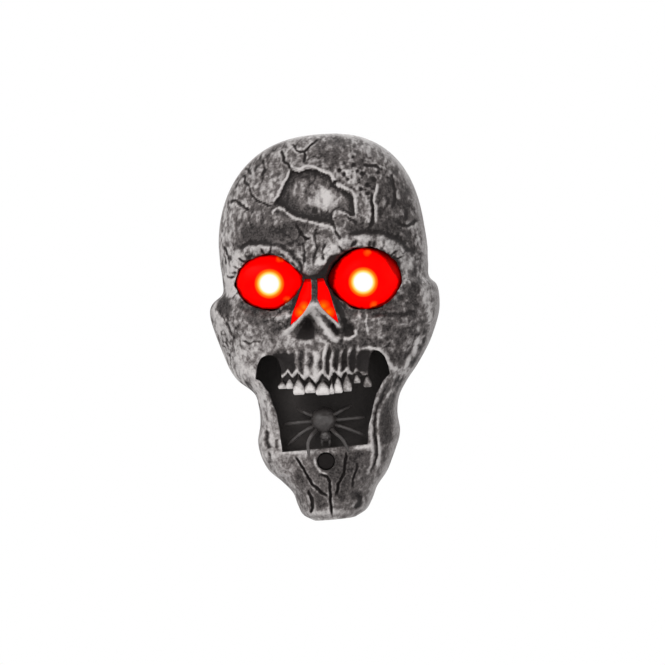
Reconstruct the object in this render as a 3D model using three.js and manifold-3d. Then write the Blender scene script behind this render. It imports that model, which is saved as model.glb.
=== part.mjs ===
// A wall-hung skull that lights up and speaks when the spider in its mouth is pressed.
// Millimetres. Every piece is drawn in the face frame: x to the viewer's right, y up the face and
// z out from the wall. At the end the whole group is turned, so that the face looks along -Y and +Z is up.

import * as THREE from "three";
import { mergeVertices } from "three/addons/utils/BufferGeometryUtils.js";
import loadManifold from "manifold-3d";

const manifold = await loadManifold();
manifold.setup();

// Fits
const wall = 2.2; // wall of the skull shell
const fitGap = 0.3; // between pieces that seat on each other
const slideGap = 0.4; // around pieces that move
const solderGap = 0.1; // between the board and the pieces soldered to it
const beyondFace = 70; // distance from the wall, past the nose, where cuts through the face end

// Skull form
const crownTop = 85;
const chinBottom = -85;
const craniumMiddle = 31; // height of the cranium's widest part
const faceBottom = -34; // heights between which the sculpting is finest
const faceTop = 42;
const craniumHalfWidth = 46;
const craniumDepth = 43;
const craniumFullness = 2.4;
const earHalfWidth = 50.8;
const earHeight = 10.5;
const cheekHalfWidth = 46.4;
const jawHalfWidth = 31.4;
const jawHeight = -49;
const jawDepth = 28;
const chinHalfWidth = 9;
const sculptLean = 0.047; // rise of the sculpted face toward the viewer's right

// Eyes: middle, half sizes, and which way the nose lies
const eyes = [
  { side: "left", x: -20.2, y: 20.3, halfWidth: 15, halfHeight: 12.1, noseward: 1 },
  { side: "right", x: 21.4, y: 20.2, halfWidth: 16.2, halfHeight: 13.6, noseward: -1 },
];
const eyeCornerTaper = 0.34;
const socketDepth = 3.4;
const browHeight = 3.6;
const browReach = 1.24; // where the brow is highest, in shares of the eye's half sizes
const collarWall = 2.2; // collar behind each eye hole
const collarEnd = 24.5; // distance from the wall of the collars' flat ends
const lensWall = 1.6;
const lensFlange = 1.4;
const lensTop = 36;
const cupWall = 1.3;
const cupRear = 15.8;
const lampRadius = 2.5;
const lampLength = 8.6;

// Nose
const noseX = 1.6;
const noseTipY = 9;
const noseTopY = 30;
const noseHeight = 6.5;
const noseRidgeRadius = 1.8;
const septumX = 0.85;
const slitTop = 21;
const slitBend = 12; // where the slit turns outward along the nose's ridge
const slitBottom = 0.8;
const slitInner = 1.2; // half width of the septum between the slits
const slitReach = 10.9;
const slitSpreadLeft = 1.1; // the left slit is broader than the right one
const slitSpreadRight = 0.86;
const slitRecess = 1.5; // how far the red ribs stay below the skin

// Mouth, teeth and chin
const lipY = -53.4; // lip's height on the midline of the chin
const lipSlope = 0.055;
const mouthLeft = -28;
const mouthRight = 31;
const mouthCornerY = -21.8;
const mouthBottomLeft = -17.7;
const mouthBottomRight = 20.6;
const mouthArchTop = -11.4;
const mouthBow = 4; // how far the mouth's sides bow outward, and where
const mouthBowY = -38;
const upperJawLeft = -16.4;
const upperJawRight = 22.4;
const gumY = -22;
const toothThick = 3.4;
const toothRow = [ // width of each tooth, and its drop below the gum line
  [4.1, 4.7], [3.8, 5.2], [4.4, 7.7], [4.2, 6.8], [5.9, 8.1],
  [2.7, 7.9], [4.2, 7.7], [4.4, 6.8], [3.9, 3.8], [3.9, 5.4],
];
const trayWall = 1.4;
const trayMargin = 0.7; // from the mouth's edge to the inside of the tray
const trayTop = -9.5;
const windowX = 1;
const windowY = -59;
const windowRadius = 3.95;

// Back cover and its screws
const coverThick = 2.4;
const padThick = 1.3; // thickening around each screw well
const bossRadius = 3.2;
const screwRadius = 1.15;
const screwHeadRadius = 2.5;
const screwHeadHeight = 1.5;
const screwLength = 9;
const coverScrewInset = 10.5; // from the skull's edge to each cover screw
const coverScrews = [
  [coverScrewInset - craniumHalfWidth, craniumMiddle + 17],
  [craniumHalfWidth - coverScrewInset, craniumMiddle + 17],
  [coverScrewInset - earHalfWidth, earHeight - 9],
  [earHalfWidth - coverScrewInset, earHeight - 9],
  [1.5, chinBottom + coverScrewInset],
];
const keyholeY = 73.6;
const keyholeRadius = 4.2;
const keyholeSlot = 2.3; // half width of the keyhole's narrow part

// Battery box
const cellRadius = 5.25;
const cellLength = 44.5;
const cellPitch = 10.7;
const boxWall = 1.2;
const boxBottom = 9.5;
const contactThick = 0.5;
const contactGap = 4.9; // room for the spring at each cell's flat end
const contactHalf = 3;
const doorThick = 2.2;
const doorLedge = 0.7;
const doorTabWidth = 5;

// Spider button
const spiderX = 0.3;
const spiderY = -41.1;
const spiderRadius = 5.6;
const legRadius = 0.75;
const pressTravel = 2;
const stemRadius = 2.4;
const buttonFlangeRadius = 4.8;
const buttonFlangeThick = 1.6;
const springRest = 3.7;
const springWire = 0.5;
const clipThick = 0.8;
const pegLength = 2.2; // peg that the spider sits on

// Board and what is on it
const boardThick = 1.4;
const boardStandoff = 0.9;
const boardLeft = -15.5;
const boardRight = 16.5;
const boardTop = -31;
const boardBottom = -65;
const tactSize = 6;
const tactHeight = 3.5;
const tactNub = 0.8;

// Speaker and slide switch
const speakerX = -22;
const speakerY = -8;
const speakerRadius = 14;
const speakerDepth = 7.4;
const switchX = 24;
const switchY = -6;
const switchTravel = 2.4;

// Materials, in the colours of the photographed object
function paint(color, roughness, metalness = 0) {
  return new THREE.MeshStandardMaterial({ color, roughness, metalness });
}

const boneGrey = paint(0x8f8d8a, 0.6);
const blackPlastic = paint(0x262322, 0.55);
const redLens = paint(0xf01008, 0.3);
const clearRed = paint(0xff5a3c, 0.2);
const steel = paint(0xb9bcc0, 0.35, 1);
const boardGreen = paint(0x2e5b3a, 0.5);
const cellGreen = paint(0x3a6b45, 0.4);
const redVinyl = paint(0xb02018, 0.5);
const blackVinyl = paint(0x1c1a1a, 0.5);

const assembly = new THREE.Group();
assembly.rotation.x = Math.PI / 2;

// Closed solid from a three.js geometry, with its faces turned outward
function solidOf(geometry) {
  const bare = new THREE.BufferGeometry();
  bare.setAttribute("position", geometry.getAttribute("position").clone());
  if (geometry.index) bare.setIndex(geometry.index.clone());
  const merged = mergeVertices(bare, 1e-4);
  const corners = merged.index.array;
  const faces = [];
  for (let i = 0; i < corners.length; i += 3) {
    const [a, b, c] = corners.slice(i, i + 3);
    if (a !== b && b !== c && c !== a) faces.push([a, b, c]);
  }
  const place = merged.getAttribute("position");
  const corner = (i) => new THREE.Vector3().fromBufferAttribute(place, i);
  const volume = faces.reduce((sum, [a, b, c]) => sum + corner(a).dot(corner(b).cross(corner(c))), 0);
  const outward = volume < 0 ? faces.map(([a, b, c]) => [a, c, b]) : faces;
  const triVerts = new Uint32Array(outward.flat());
  return new manifold.Manifold(new manifold.Mesh({ numProp: 3, vertProperties: place.array, triVerts }));
}

function geometryOf(solid) {
  const mesh = solid.getMesh();
  const geometry = new THREE.BufferGeometry();
  geometry.setAttribute("position", new THREE.BufferAttribute(mesh.vertProperties, 3));
  geometry.setIndex(new THREE.BufferAttribute(mesh.triVerts, 1));
  geometry.computeVertexNormals();
  return geometry;
}

function addPiece(name, solid, material, place = [0, 0, 0]) {
  const mesh = new THREE.Mesh(geometryOf(solid), material);
  mesh.name = name;
  mesh.position.set(...place);
  assembly.add(mesh);
}

const join = (...solids) => manifold.Manifold.union(solids);

// Flat outline pushed out from one distance to another
function prism(shape, near, far, curveSegments = 6) {
  const settings = { depth: far - near, bevelEnabled: false, curveSegments };
  return solidOf(new THREE.ExtrudeGeometry(shape, settings).translate(0, 0, near));
}

const shapeOf = (points) => new THREE.Shape(points.map(([x, y]) => new THREE.Vector2(x, y)));

function block(left, right, bottom, top, near, far) {
  const box = new THREE.BoxGeometry(right - left, top - bottom, far - near);
  return solidOf(box.translate((left + right) / 2, (bottom + top) / 2, (near + far) / 2));
}

function rod(x, y, radius, near, far, sides = 16) {
  const tube = new THREE.CylinderGeometry(radius, radius, far - near, sides);
  return solidOf(tube.rotateX(Math.PI / 2).translate(x, y, (near + far) / 2));
}

// Turned solid about the z axis, from [radius, z] points
function turned(points, sides = 16) {
  const profile = points.map(([radius, z]) => new THREE.Vector2(radius, z));
  return solidOf(new THREE.LatheGeometry(profile, sides).rotateX(Math.PI / 2));
}

// Solid through rings of equal point counts: a ring of one point closes an end
function ringLoft(rings, closed = false) {
  const count = Math.max(...rings.map((ring) => ring.length));
  const vertices = rings.flatMap((ring) => Array.from({ length: count }, (_, i) => ring[i % ring.length]));
  const index = [];
  const last = closed ? rings.length : rings.length - 1;
  for (let r = 0; r < last; r += 1) {
    for (let i = 0; i < count; i += 1) {
      const a = r * count + i;
      const b = r * count + ((i + 1) % count);
      const c = ((r + 1) % rings.length) * count + ((i + 1) % count);
      const d = ((r + 1) % rings.length) * count + i;
      index.push(a, b, c, a, c, d);
    }
  }
  const geometry = new THREE.BufferGeometry();
  geometry.setAttribute("position", new THREE.Float32BufferAttribute(vertices.flat(), 3));
  geometry.setIndex(index);
  return solidOf(geometry);
}

// Tube with a flat or round section along a smooth line
function tubeAlong(curve, steps, section) {
  return solidOf(new THREE.ExtrudeGeometry(section, { steps, extrudePath: curve, bevelEnabled: false }));
}

const roundSection = (radius, sides) =>
  shapeOf(Array.from({ length: sides }, (_, i) => {
    const angle = (2 * Math.PI * i) / sides;
    return [radius * Math.cos(angle), radius * Math.sin(angle)];
  }));

function smoothThrough(points) {
  return new THREE.CatmullRomCurve3(points.map((point) => new THREE.Vector3(...point)));
}

// Smooth value along y through [y, value] landmarks
function smoothLine(landmarks) {
  const heights = Float32Array.from(landmarks, ([y]) => y);
  const values = Float32Array.from(landmarks, ([, value]) => value);
  const line = new THREE.CubicInterpolant(heights, values, 1, new Float32Array(1));
  return (y) => line.evaluate(y)[0];
}

const { smoothstep, clamp, lerp } = THREE.MathUtils;
const mound = (x, y, cx, cy, rx, ry) => Math.exp(-(((x - cx) / rx) ** 2) - ((y - cy) / ry) ** 2);

// Outline of the skull on the wall, and depth of its midline
const sideOutline = smoothLine([
  [chinBottom, chinHalfWidth],
  [chinBottom + 2.4, chinHalfWidth + 4.3],
  [chinBottom + 7, chinHalfWidth + 7.2],
  [-72, chinHalfWidth + 9.6],
  [-67, lerp(chinHalfWidth, jawHalfWidth, 0.61)],
  [-62, jawHalfWidth - 4.7],
  [-56, jawHalfWidth - 1.8],
  [jawHeight, jawHalfWidth],
  [-40, jawHalfWidth - 1.2],
  [-33, jawHalfWidth - 0.5],
  [-27, jawHalfWidth + 2.1],
  [-20, cheekHalfWidth - 6.4],
  [-8, cheekHalfWidth],
  [earHeight, earHalfWidth],
  [earHeight + 4, earHalfWidth - 1.4],
  [earHeight + 7.2, craniumHalfWidth],
  [24, craniumHalfWidth - 0.4],
  [craniumMiddle, craniumHalfWidth],
]);
// Sideways drift of the middle between the two sides, which aren't quite alike
const midlineX = smoothLine([
  [chinBottom, 1.2], [-67, 1.6], [-61, 0], [-50, 0], [-40, 0.4], [-33, 0.9], [-27, 1.7], [-20, 0.4],
  [earHeight + 1.5, 0.4], [earHeight + 7.2, 1.2], [craniumMiddle, 0.8], [faceTop, 0], [crownTop, 0],
]);
const midProfile = smoothLine([
  [chinBottom, jawDepth - 6],
  [chinBottom + 3, jawDepth - 2.5],
  [chinBottom + 9, jawDepth - 0.6],
  [-66, jawDepth + 0.4],
  [-46, jawDepth],
  [-37, jawDepth + 3],
  [-28, craniumDepth - 6.5],
  [-18, craniumDepth - 3.6],
  [-4, craniumDepth - 2.4],
  [10, craniumDepth - 0.8],
  [craniumMiddle, craniumDepth],
]);
const squareness = smoothLine([
  [chinBottom, 2.8], [-62, 3.8], [-46, 5.6], [-28, 5.6], [-10, 3.6], [20, 3.1], [45, 2.5], [crownTop, 2.2],
]);

function domeShare(y, inset, fullness) {
  const share = clamp((y - craniumMiddle) / (crownTop - inset - craniumMiddle), 0, 1);
  return (1 - share ** fullness) ** (1 / fullness);
}

function halfWidthAt(y, inset) {
  if (y > craniumMiddle) return (craniumHalfWidth - inset) * domeShare(y, inset, craniumFullness);
  return sideOutline(y) - inset;
}

function midDepthAt(y, inset) {
  if (y > craniumMiddle) return (craniumDepth - inset) * domeShare(y, inset, 2.2);
  return midProfile(y) - inset;
}

// Plain form of the face at a share of the half width, before its features
function plainDepth(share, y, inset) {
  return midDepthAt(y, inset) * Math.max(0, 1 - Math.abs(share) ** squareness(y)) ** (1 / 2.1);
}

// Features raised on or sunk into the plain form
function eyeRelief(x, y, eye) {
  const across = (x - eye.x) / eye.halfWidth;
  const up = (y - eye.y) / eye.halfHeight;
  const reach = Math.hypot(across, up);
  const outward = smoothstep(-across * eye.noseward, 0, 1);
  const rim = Math.max(smoothstep(up, -0.3, 0.6), outward * smoothstep(up, -0.9, -0.2));
  const sunk = (1 - 0.5 * outward) * (1 - 0.8 * rim) * (1 - smoothstep(reach, 1, 1.4));
  const spread = reach < browReach ? 0.36 : 0.22;
  const brow = rim * Math.exp(-(((reach - browReach) / spread) ** 2));
  return browHeight * brow - socketDepth * sunk;
}

function noseRelief(x, y) {
  const down = clamp((noseTopY - y) / (noseTopY - noseTipY), 0, 1);
  const bridge = down * Math.exp(-(((x - noseX) / (4.6 + 2.4 * down)) ** 2));
  const belowTip = 1 - smoothstep(noseTipY - y, 0, 7);
  const nostrils = mound(x, y, noseX - 5.2, 1, 3.6, 4) + 0.7 * mound(x, y, noseX + 12, -1.2, 2.8, 3.2);
  const sill = mound(x, y, noseX + 1, -5, 9, 2.6);
  return noseHeight * bridge * belowTip - 4.5 * nostrils + 1.5 * sill;
}

function cheekRelief(x, y) {
  const bones = mound(x, y, -36, 2, 10, 6) + mound(x, y, 38, 3, 10, 6);
  const hollows = mound(x, y, -30, -14, 7, 6) + mound(x, y, 34, -13, 7, 6);
  const temples = mound(x, y, -41, 41, 8, 13) + mound(x, y, 42, 43, 8, 13);
  const ears = mound(x, y, -46.5, earHeight, 4, 7) + mound(x, y, 46.5, earHeight + 4, 4, 7);
  const earPitLeft = 1.2 * mound(x, y, -41.6, earHeight - 0.3, 3.8, 4);
  const earPits = earPitLeft + mound(x, y, 42.6, earHeight + 2.9, 2.4, 4.4);
  return 3.2 * bones - 2.4 * hollows - 2.2 * temples + 2.4 * ears - 2.6 * earPits;
}

function jawRelief(x, y) {
  const middle = (upperJawLeft + upperJawRight) / 2;
  const reach = Math.abs(x - middle) / ((upperJawRight - upperJawLeft) / 2);
  const within = smoothstep(y, gumY - 20, gumY - 2) * (1 - smoothstep(y, gumY + 8, gumY + 18));
  const upperJaw = (1 - smoothstep(reach, 0.55, 1.25)) * within;
  const lip = mound(0, y, 0, lipY + lipSlope * x - 1.6, 1, 2);
  const chin = mound(x, y, 1, -73, 12, 7);
  const cornerLeft = mound(x, y, -27, -38, 4, 13);
  const cornerRight = mound(x, y, 29, -36, 4, 13);
  const archY = gumY + 6.8;
  const arches = mound(x, y, upperJawLeft + 1, archY, 4.6, 5) + mound(x, y, upperJawRight - 3, archY, 4.6, 5);
  const sideHollow = mound(x, y, 27.4, -43, 1.7, 7.6);
  const raised = 3.6 * upperJaw + 0.9 * lip + 1.4 * chin + 1.8 * (cornerLeft + cornerRight);
  return raised - 3.6 * arches - 2.2 * sideHollow;
}

function relief(x, y) {
  const eyeParts = eyes.reduce((sum, eye) => sum + eyeRelief(x, y, eye), 0);
  return eyeParts + noseRelief(x, y) + cheekRelief(x, y) + jawRelief(x, y);
}

// Broken plate in the forehead
const plateDepth = 1.5;
const plateCorners = [
  [-8.8, 68.8], [-2, 69], [8.2, 65.4], [11.6, 60], [17.8, 57], [18.9, 47.4],
  [13.6, 49.4], [10.6, 49.8], [9, 45.7], [0, 47.7], [-8, 50], [-13, 54], [-16.2, 54.9],
];

// Deepest sink nearby, so that the inside of the wall follows every hollow
function innerRelief(x, y) {
  const reach = wall + 1;
  let lowest = Math.min(0, relief(x, y));
  for (let i = 0; i < 8; i += 1) {
    const angle = (i * Math.PI) / 4;
    lowest = Math.min(lowest, relief(x + reach * Math.cos(angle), y + reach * Math.sin(angle)));
  }
  return lowest - plateDepth * Math.min(1, 1.5 * mound(x, y, 3, 56, 20, 15));
}

function surfaceDepth(x, y) {
  const level = y - sculptLean * x;
  const plain = plainDepth((x - midlineX(level)) / halfWidthAt(level, 0), level, 0);
  return plain + relief(x, y) * smoothstep(plain, 3, 14);
}

// Half widths and heights from chin to crown: close together over the face, and again toward the crown
function skullLevels({ jawRows, faceRows, crownRows }, inset) {
  const bottom = chinBottom + inset;
  const top = crownTop - inset;
  const jaw = Array.from({ length: jawRows }, (_, i) => lerp(bottom, faceBottom, i / jawRows));
  const face = Array.from({ length: faceRows }, (_, i) => lerp(faceBottom, faceTop, i / faceRows));
  const crown = Array.from({ length: crownRows }, (_, i) =>
    lerp(faceTop, top, Math.sin((i / crownRows) * (Math.PI / 2))));
  return [...[...jaw, ...face, ...crown].map((y) => [halfWidthAt(y, inset), y]), [0, top]];
}

// Closed skull form: rows from chin to crown, columns from side to side, flat at the back
function skullForm({ columns, rows: rowCounts, inset, reliefAt, back }) {
  const rows = [];
  for (const [reach, y] of skullLevels(rowCounts, inset)) {
    const row = [];
    for (let c = 0; c <= columns; c += 1) {
      const share = Math.sin(Math.PI * (c / columns - 0.5));
      const x = midlineX(y) + reach * share;
      const plain = reach === 0 ? 0 : plainDepth(share, y, inset);
      const height = y + sculptLean * x;
      row.push([x, height, plain + reliefAt(x, height) * smoothstep(plain, 3, 14)]);
    }
    const skirt = [row[0], row[columns]].map(([x, height]) => [x, height, back]);
    rows.push(back < 0 ? [skirt[0], ...row, skirt[1]] : row);
  }
  const width = rows[0].length;
  const index = [];
  for (let r = 0; r + 1 < rows.length; r += 1) {
    for (let c = 0; c < width; c += 1) {
      const a = r * width + c;
      const b = r * width + ((c + 1) % width);
      index.push(a, b, b + width, a, b + width, a + width);
    }
  }
  for (let c = 1; c + 1 < width; c += 1) index.push(0, c + 1, c);
  const geometry = new THREE.BufferGeometry();
  geometry.setAttribute("position", new THREE.Float32BufferAttribute(rows.flat(2), 3));
  geometry.setIndex(index);
  return solidOf(geometry);
}

const skinGrid = { columns: 40, rows: { jawRows: 13, faceRows: 26, crownRows: 8 }, inset: 0, back: 0 };
const skin = skullForm({ ...skinGrid, reliefAt: relief });
const sunkSkin = (depth) => skullForm({ ...skinGrid, reliefAt: (x, y) => relief(x, y) - depth });
const cavityRows = { jawRows: 10, faceRows: 14, crownRows: 6 };
const cavityGrid = { columns: 18, rows: cavityRows, reliefAt: innerRelief, back: -3 };
const cavityOf = (inset) => skullForm({ ...cavityGrid, inset });
const cavity = cavityOf(wall);
const seatRoom = cavityOf(wall + fitGap); // room for what seats against the inside of the shell

// Outlines shared by the shell and the pieces that seat in it
function eyeRing(eye, grow, z, count = 20) {
  return Array.from({ length: count }, (_, i) => {
    const angle = (2 * Math.PI * i) / count;
    const taper = 1 - eyeCornerTaper * Math.max(0, eye.noseward * Math.cos(angle)) ** 2;
    const x = eye.x + (eye.halfWidth + grow) * Math.cos(angle);
    return [x, eye.y + (eye.halfHeight * taper + grow) * Math.sin(angle), z];
  });
}

const eyeShape = (eye, grow) => shapeOf(eyeRing(eye, grow, 0));
const lampPlace = (eye) => [eye.x - 0.45, eye.y - 1];

// Wedge-shaped slit beside the nose, given as [out from the septum's middle, y] round its edge
function slitShape(side, inset) {
  const spread = side < 0 ? slitSpreadLeft : slitSpreadRight;
  const inner = [
    [slitInner, slitTop], [slitInner, slitBend], [slitInner + 1.8, slitBend - 3.6],
    [slitInner + 4.6, slitBend - 6.8], [slitReach, slitBottom],
  ];
  const outer = [
    [slitReach - 0.8, slitBottom + 4.2], [slitReach - 4.1, slitBottom + 14.2], [slitInner + 3, slitTop],
  ];
  const middle = (slitInner + slitReach) / 2;
  const edge = [...inner, ...outer].map(([out, y]) => {
    const pull = clamp((middle - out) / 2, -1, 1) * inset;
    return [septumX + side * spread * (out + pull), lerp(y, (slitTop + slitBottom) / 2, inset / 5)];
  });
  return shapeOf(edge);
}

// Raised edge along the nose, under the slits
function noseRidge(places) {
  const points = places.map(([x, y]) => [x, y, surfaceDepth(x, y) + 0.15 * noseRidgeRadius]);
  return tubeAlong(smoothThrough(points), 5, roundSection(noseRidgeRadius, 5));
}

const lipAt = (x) => lipY + lipSlope * x;

function mouthShape() {
  const shape = new THREE.Shape();
  shape.moveTo(mouthBottomLeft, lipAt(mouthBottomLeft));
  shape.lineTo(mouthBottomRight, lipAt(mouthBottomRight));
  shape.quadraticCurveTo(mouthBottomRight + mouthBow, mouthBowY, mouthRight, mouthCornerY);
  shape.quadraticCurveTo(mouthRight - 1, mouthArchTop, mouthRight - 6, mouthArchTop);
  shape.quadraticCurveTo(upperJawRight, mouthArchTop, upperJawRight - 0.6, gumY + 2);
  shape.quadraticCurveTo((upperJawLeft + upperJawRight) / 2, gumY - 4, upperJawLeft + 0.6, gumY + 1);
  shape.quadraticCurveTo(upperJawLeft, mouthArchTop, mouthLeft + 7.5, mouthArchTop);
  shape.quadraticCurveTo(mouthLeft + 1, mouthArchTop, mouthLeft, mouthCornerY);
  shape.quadraticCurveTo(mouthBottomLeft - mouthBow, mouthBowY, mouthBottomLeft, lipAt(mouthBottomLeft));
  return shape;
}

function trayShape(grow) {
  const reach = trayMargin + trayWall + grow;
  const left = mouthBottomLeft - reach;
  const right = mouthBottomRight + reach;
  const drop = trayWall + grow - 0.3;
  const shape = new THREE.Shape();
  shape.moveTo(left, lipAt(left) - drop);
  shape.lineTo(right, lipAt(right) - drop);
  shape.quadraticCurveTo(mouthBottomRight + mouthBow + reach, mouthBowY, mouthRight + reach, mouthCornerY);
  shape.lineTo(mouthRight - 2 + reach, trayTop + grow);
  shape.lineTo(mouthLeft + 2 - reach, trayTop + grow);
  shape.lineTo(mouthLeft - reach, mouthCornerY);
  shape.quadraticCurveTo(mouthBottomLeft - mouthBow - reach, mouthBowY, left, lipAt(left) - drop);
  return shape;
}

function skullOutline(inset) {
  const levels = skullLevels(cavityRows, inset);
  const right = levels.map(([reach, y]) => [midlineX(y) + reach, y]);
  const left = levels.slice(0, -1).reverse().map(([reach, y]) => [midlineX(y) - reach, y]);
  return shapeOf([...right, ...left].map(([x, y]) => [x, y + sculptLean * x]));
}

// Levels of the button's stack, from the wall outward
const boardBack = coverThick + boardStandoff + fitGap;
const boardFront = boardBack + boardThick;
const tactBack = boardFront + solderGap;
const tactTop = tactBack + tactHeight + tactNub;
const stemEnd = tactTop + 0.2 + pressTravel;
const clipBack = stemEnd + 0.4;
const wellBack = clipBack + clipThick + fitGap;
const wellFloor = wellBack + 1.2;
const flangeBack = wellFloor + springRest;
const flangeFront = flangeBack + buttonFlangeThick;
const trayFront = flangeFront - 0.5;
const trayBack = trayFront - 1.8;
const spiderBack = flangeFront + fitGap;
const wellRadius = buttonFlangeRadius + slideGap;

// Screw wells in the cover, and the bosses that take the screws
const padFront = coverThick + padThick;
const bossEnd = padFront + fitGap;
const headSeat = padFront - 1.4;
const trayScrews = [[-14, -5.4], [18, -5.2]];
const trayBossEnd = trayFront + fitGap;
const boardScrews = [[boardLeft + 3.2, boardTop - 3.4], [boardRight - 3.2, boardBottom + 3.4]];

function shellBosses() {
  const coverBosses = coverScrews.map(([x, y]) => rod(x, y, bossRadius, bossEnd, beyondFace, 8));
  const trayBosses = trayScrews.map(([x, y]) => rod(x, y, bossRadius, trayBossEnd, beyondFace, 8));
  const collars = eyes.map((eye) => prism(eyeShape(eye, collarWall), collarEnd, beyondFace));
  const windowCollar = rod(windowX, windowY, windowRadius + 1.5, 20.5, beyondFace, 20);
  const clear = prism(trayShape(fitGap), 0, beyondFace);
  return join(...coverBosses, ...trayBosses, ...collars, windowCollar.subtract(clear)).intersect(skin);
}

function upperTeeth() {
  const span = upperJawRight - upperJawLeft + 2.7;
  const scale = span / toothRow.reduce((sum, [width]) => sum + width, 0);
  let left = upperJawLeft - 2.3;
  return toothRow.map(([width, drop]) => {
    const half = (width * scale) / 2;
    const x = left + half;
    left += 2 * half;
    const fromMiddle = Math.abs(2 * x - upperJawLeft - upperJawRight) / span;
    const top = gumY + 4 + 2 * fromMiddle;
    const length = top - gumY + drop;
    const crown = [[0, -length], [0.8, -length], [1.04, 1 - length], [0.8, 3 - length]];
    const profile = [...crown, [0.4, 0], [0, 0]].map(([radius, y]) => new THREE.Vector2(radius, y));
    const tooth = new THREE.LatheGeometry(profile, 6).scale(half, 1, toothThick / 2);
    return solidOf(tooth.translate(x, top, surfaceDepth(x, top - 1) - 1.7));
  });
}

function frontShell() {
  const plate = prism(shapeOf(plateCorners), 20, beyondFace).subtract(sunkSkin(plateDepth));
  const openings = [
    plate,
    prism(mouthShape(), 10, beyondFace),
    ...eyes.map((eye) => prism(eyeShape(eye, 0), 10, beyondFace)),
    ...[-1, 1].map((side) => prism(slitShape(side, 0), 20, beyondFace)),
    rod(windowX, windowY, windowRadius, 10, beyondFace, 20),
    ...coverScrews.map(([x, y]) => rod(x, y, screwRadius + fitGap, 0, screwLength + 3, 6)),
    ...trayScrews.map(([x, y]) => rod(x, y, screwRadius + fitGap, 0, trayBack + screwLength, 6)),
  ];
  const ridges = [
    noseRidge([[1.2, 10.6], [-2.6, 7], [-6, 3.8], [-9.5, 0.5], [-13.6, -2.8]]),
    noseRidge([[0.8, 10.6], [3.5, 7.4], [6.5, 4], [9.5, 0.8], [11.8, -1.8]]),
    noseRidge([[1.2, 4.4], [3.2, 1], [5.4, -2.4], [7.8, -5.4], [10.4, -7]]),
  ];
  const shell = join(skin.subtract(cavity), shellBosses(), ...ridges).subtract(join(...openings));
  return join(shell, ...upperTeeth());
}

// Screw along z with a cross recess: its head's underside lies at z = 0 and its tip points along +z
function screwSolid(length) {
  const body = turned([
    [0, -screwHeadHeight], [screwHeadRadius * 0.6, -screwHeadHeight],
    [screwHeadRadius, -screwHeadHeight * 0.5], [screwHeadRadius, 0],
    [screwRadius, 0], [screwRadius, length - screwRadius], [0, length],
  ], 8);
  const arm = screwHeadRadius * 0.55;
  const cross = join(
    block(-arm, arm, -0.3, 0.3, -screwHeadHeight - 1, -screwHeadHeight * 0.4),
    block(-0.3, 0.3, -arm, arm, -screwHeadHeight - 1, -screwHeadHeight * 0.4),
  );
  return body.subtract(cross);
}

// Battery box, moulded as one with the back cover
const boxHalf = cellPitch + cellRadius + fitGap;
const cellMiddle = doorThick + 0.9 + cellRadius;
const boxFloor = cellMiddle + cellRadius + fitGap;
const contactStack = fitGap + contactThick + fitGap;
const boxTop = boxBottom + contactStack + contactGap + cellLength + contactStack - fitGap;
const topTailY = boxTop - fitGap - contactThick / 2;
const bottomTailY = boxBottom + fitGap + contactThick / 2;
const doorBottom = boxBottom - doorLedge;
const doorTop = boxTop + doorLedge;
const doorHalf = boxHalf + doorLedge - 0.1;
const tongueHalf = 5;
const tongueTop = doorTop + 6.6;
const doorScrewY = doorTop + 3;
const doorSeat = doorThick + fitGap;
const doorScrewSeat = screwHeadHeight + 0.2;

function doorOutline(grow) {
  const right = [
    [doorHalf + grow, doorBottom - grow], [doorHalf + grow, doorTop + grow],
    [tongueHalf + grow, doorTop + grow], [tongueHalf + grow, tongueTop + grow],
  ];
  const left = right.map(([x, y]) => [-x, y]).reverse();
  return shapeOf([...right, ...left]);
}

const tabPlaces = [-cellPitch, cellPitch];

function keyholeCut() {
  const shape = new THREE.Shape();
  const meet = Math.asin(keyholeSlot / keyholeRadius);
  const slotTop = keyholeY + keyholeRadius + 2.6;
  shape.absarc(0, keyholeY, keyholeRadius, Math.PI / 2 + meet, Math.PI / 2 - meet + 2 * Math.PI, false);
  shape.lineTo(keyholeSlot, slotTop);
  shape.absarc(0, slotTop, keyholeSlot, 0, Math.PI, false);
  return prism(shape, -1, 10, 10);
}

function speakerSlots() {
  const reach = speakerRadius - 4;
  const slots = [-2, -1, 0, 1, 2].map((i) => {
    const y = speakerY + (i * reach) / 2.4;
    const half = Math.sqrt(reach ** 2 - (y - speakerY) ** 2);
    return block(speakerX - half, speakerX + half, y - 1, y + 1, -1, 10);
  });
  return join(...slots);
}

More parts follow.
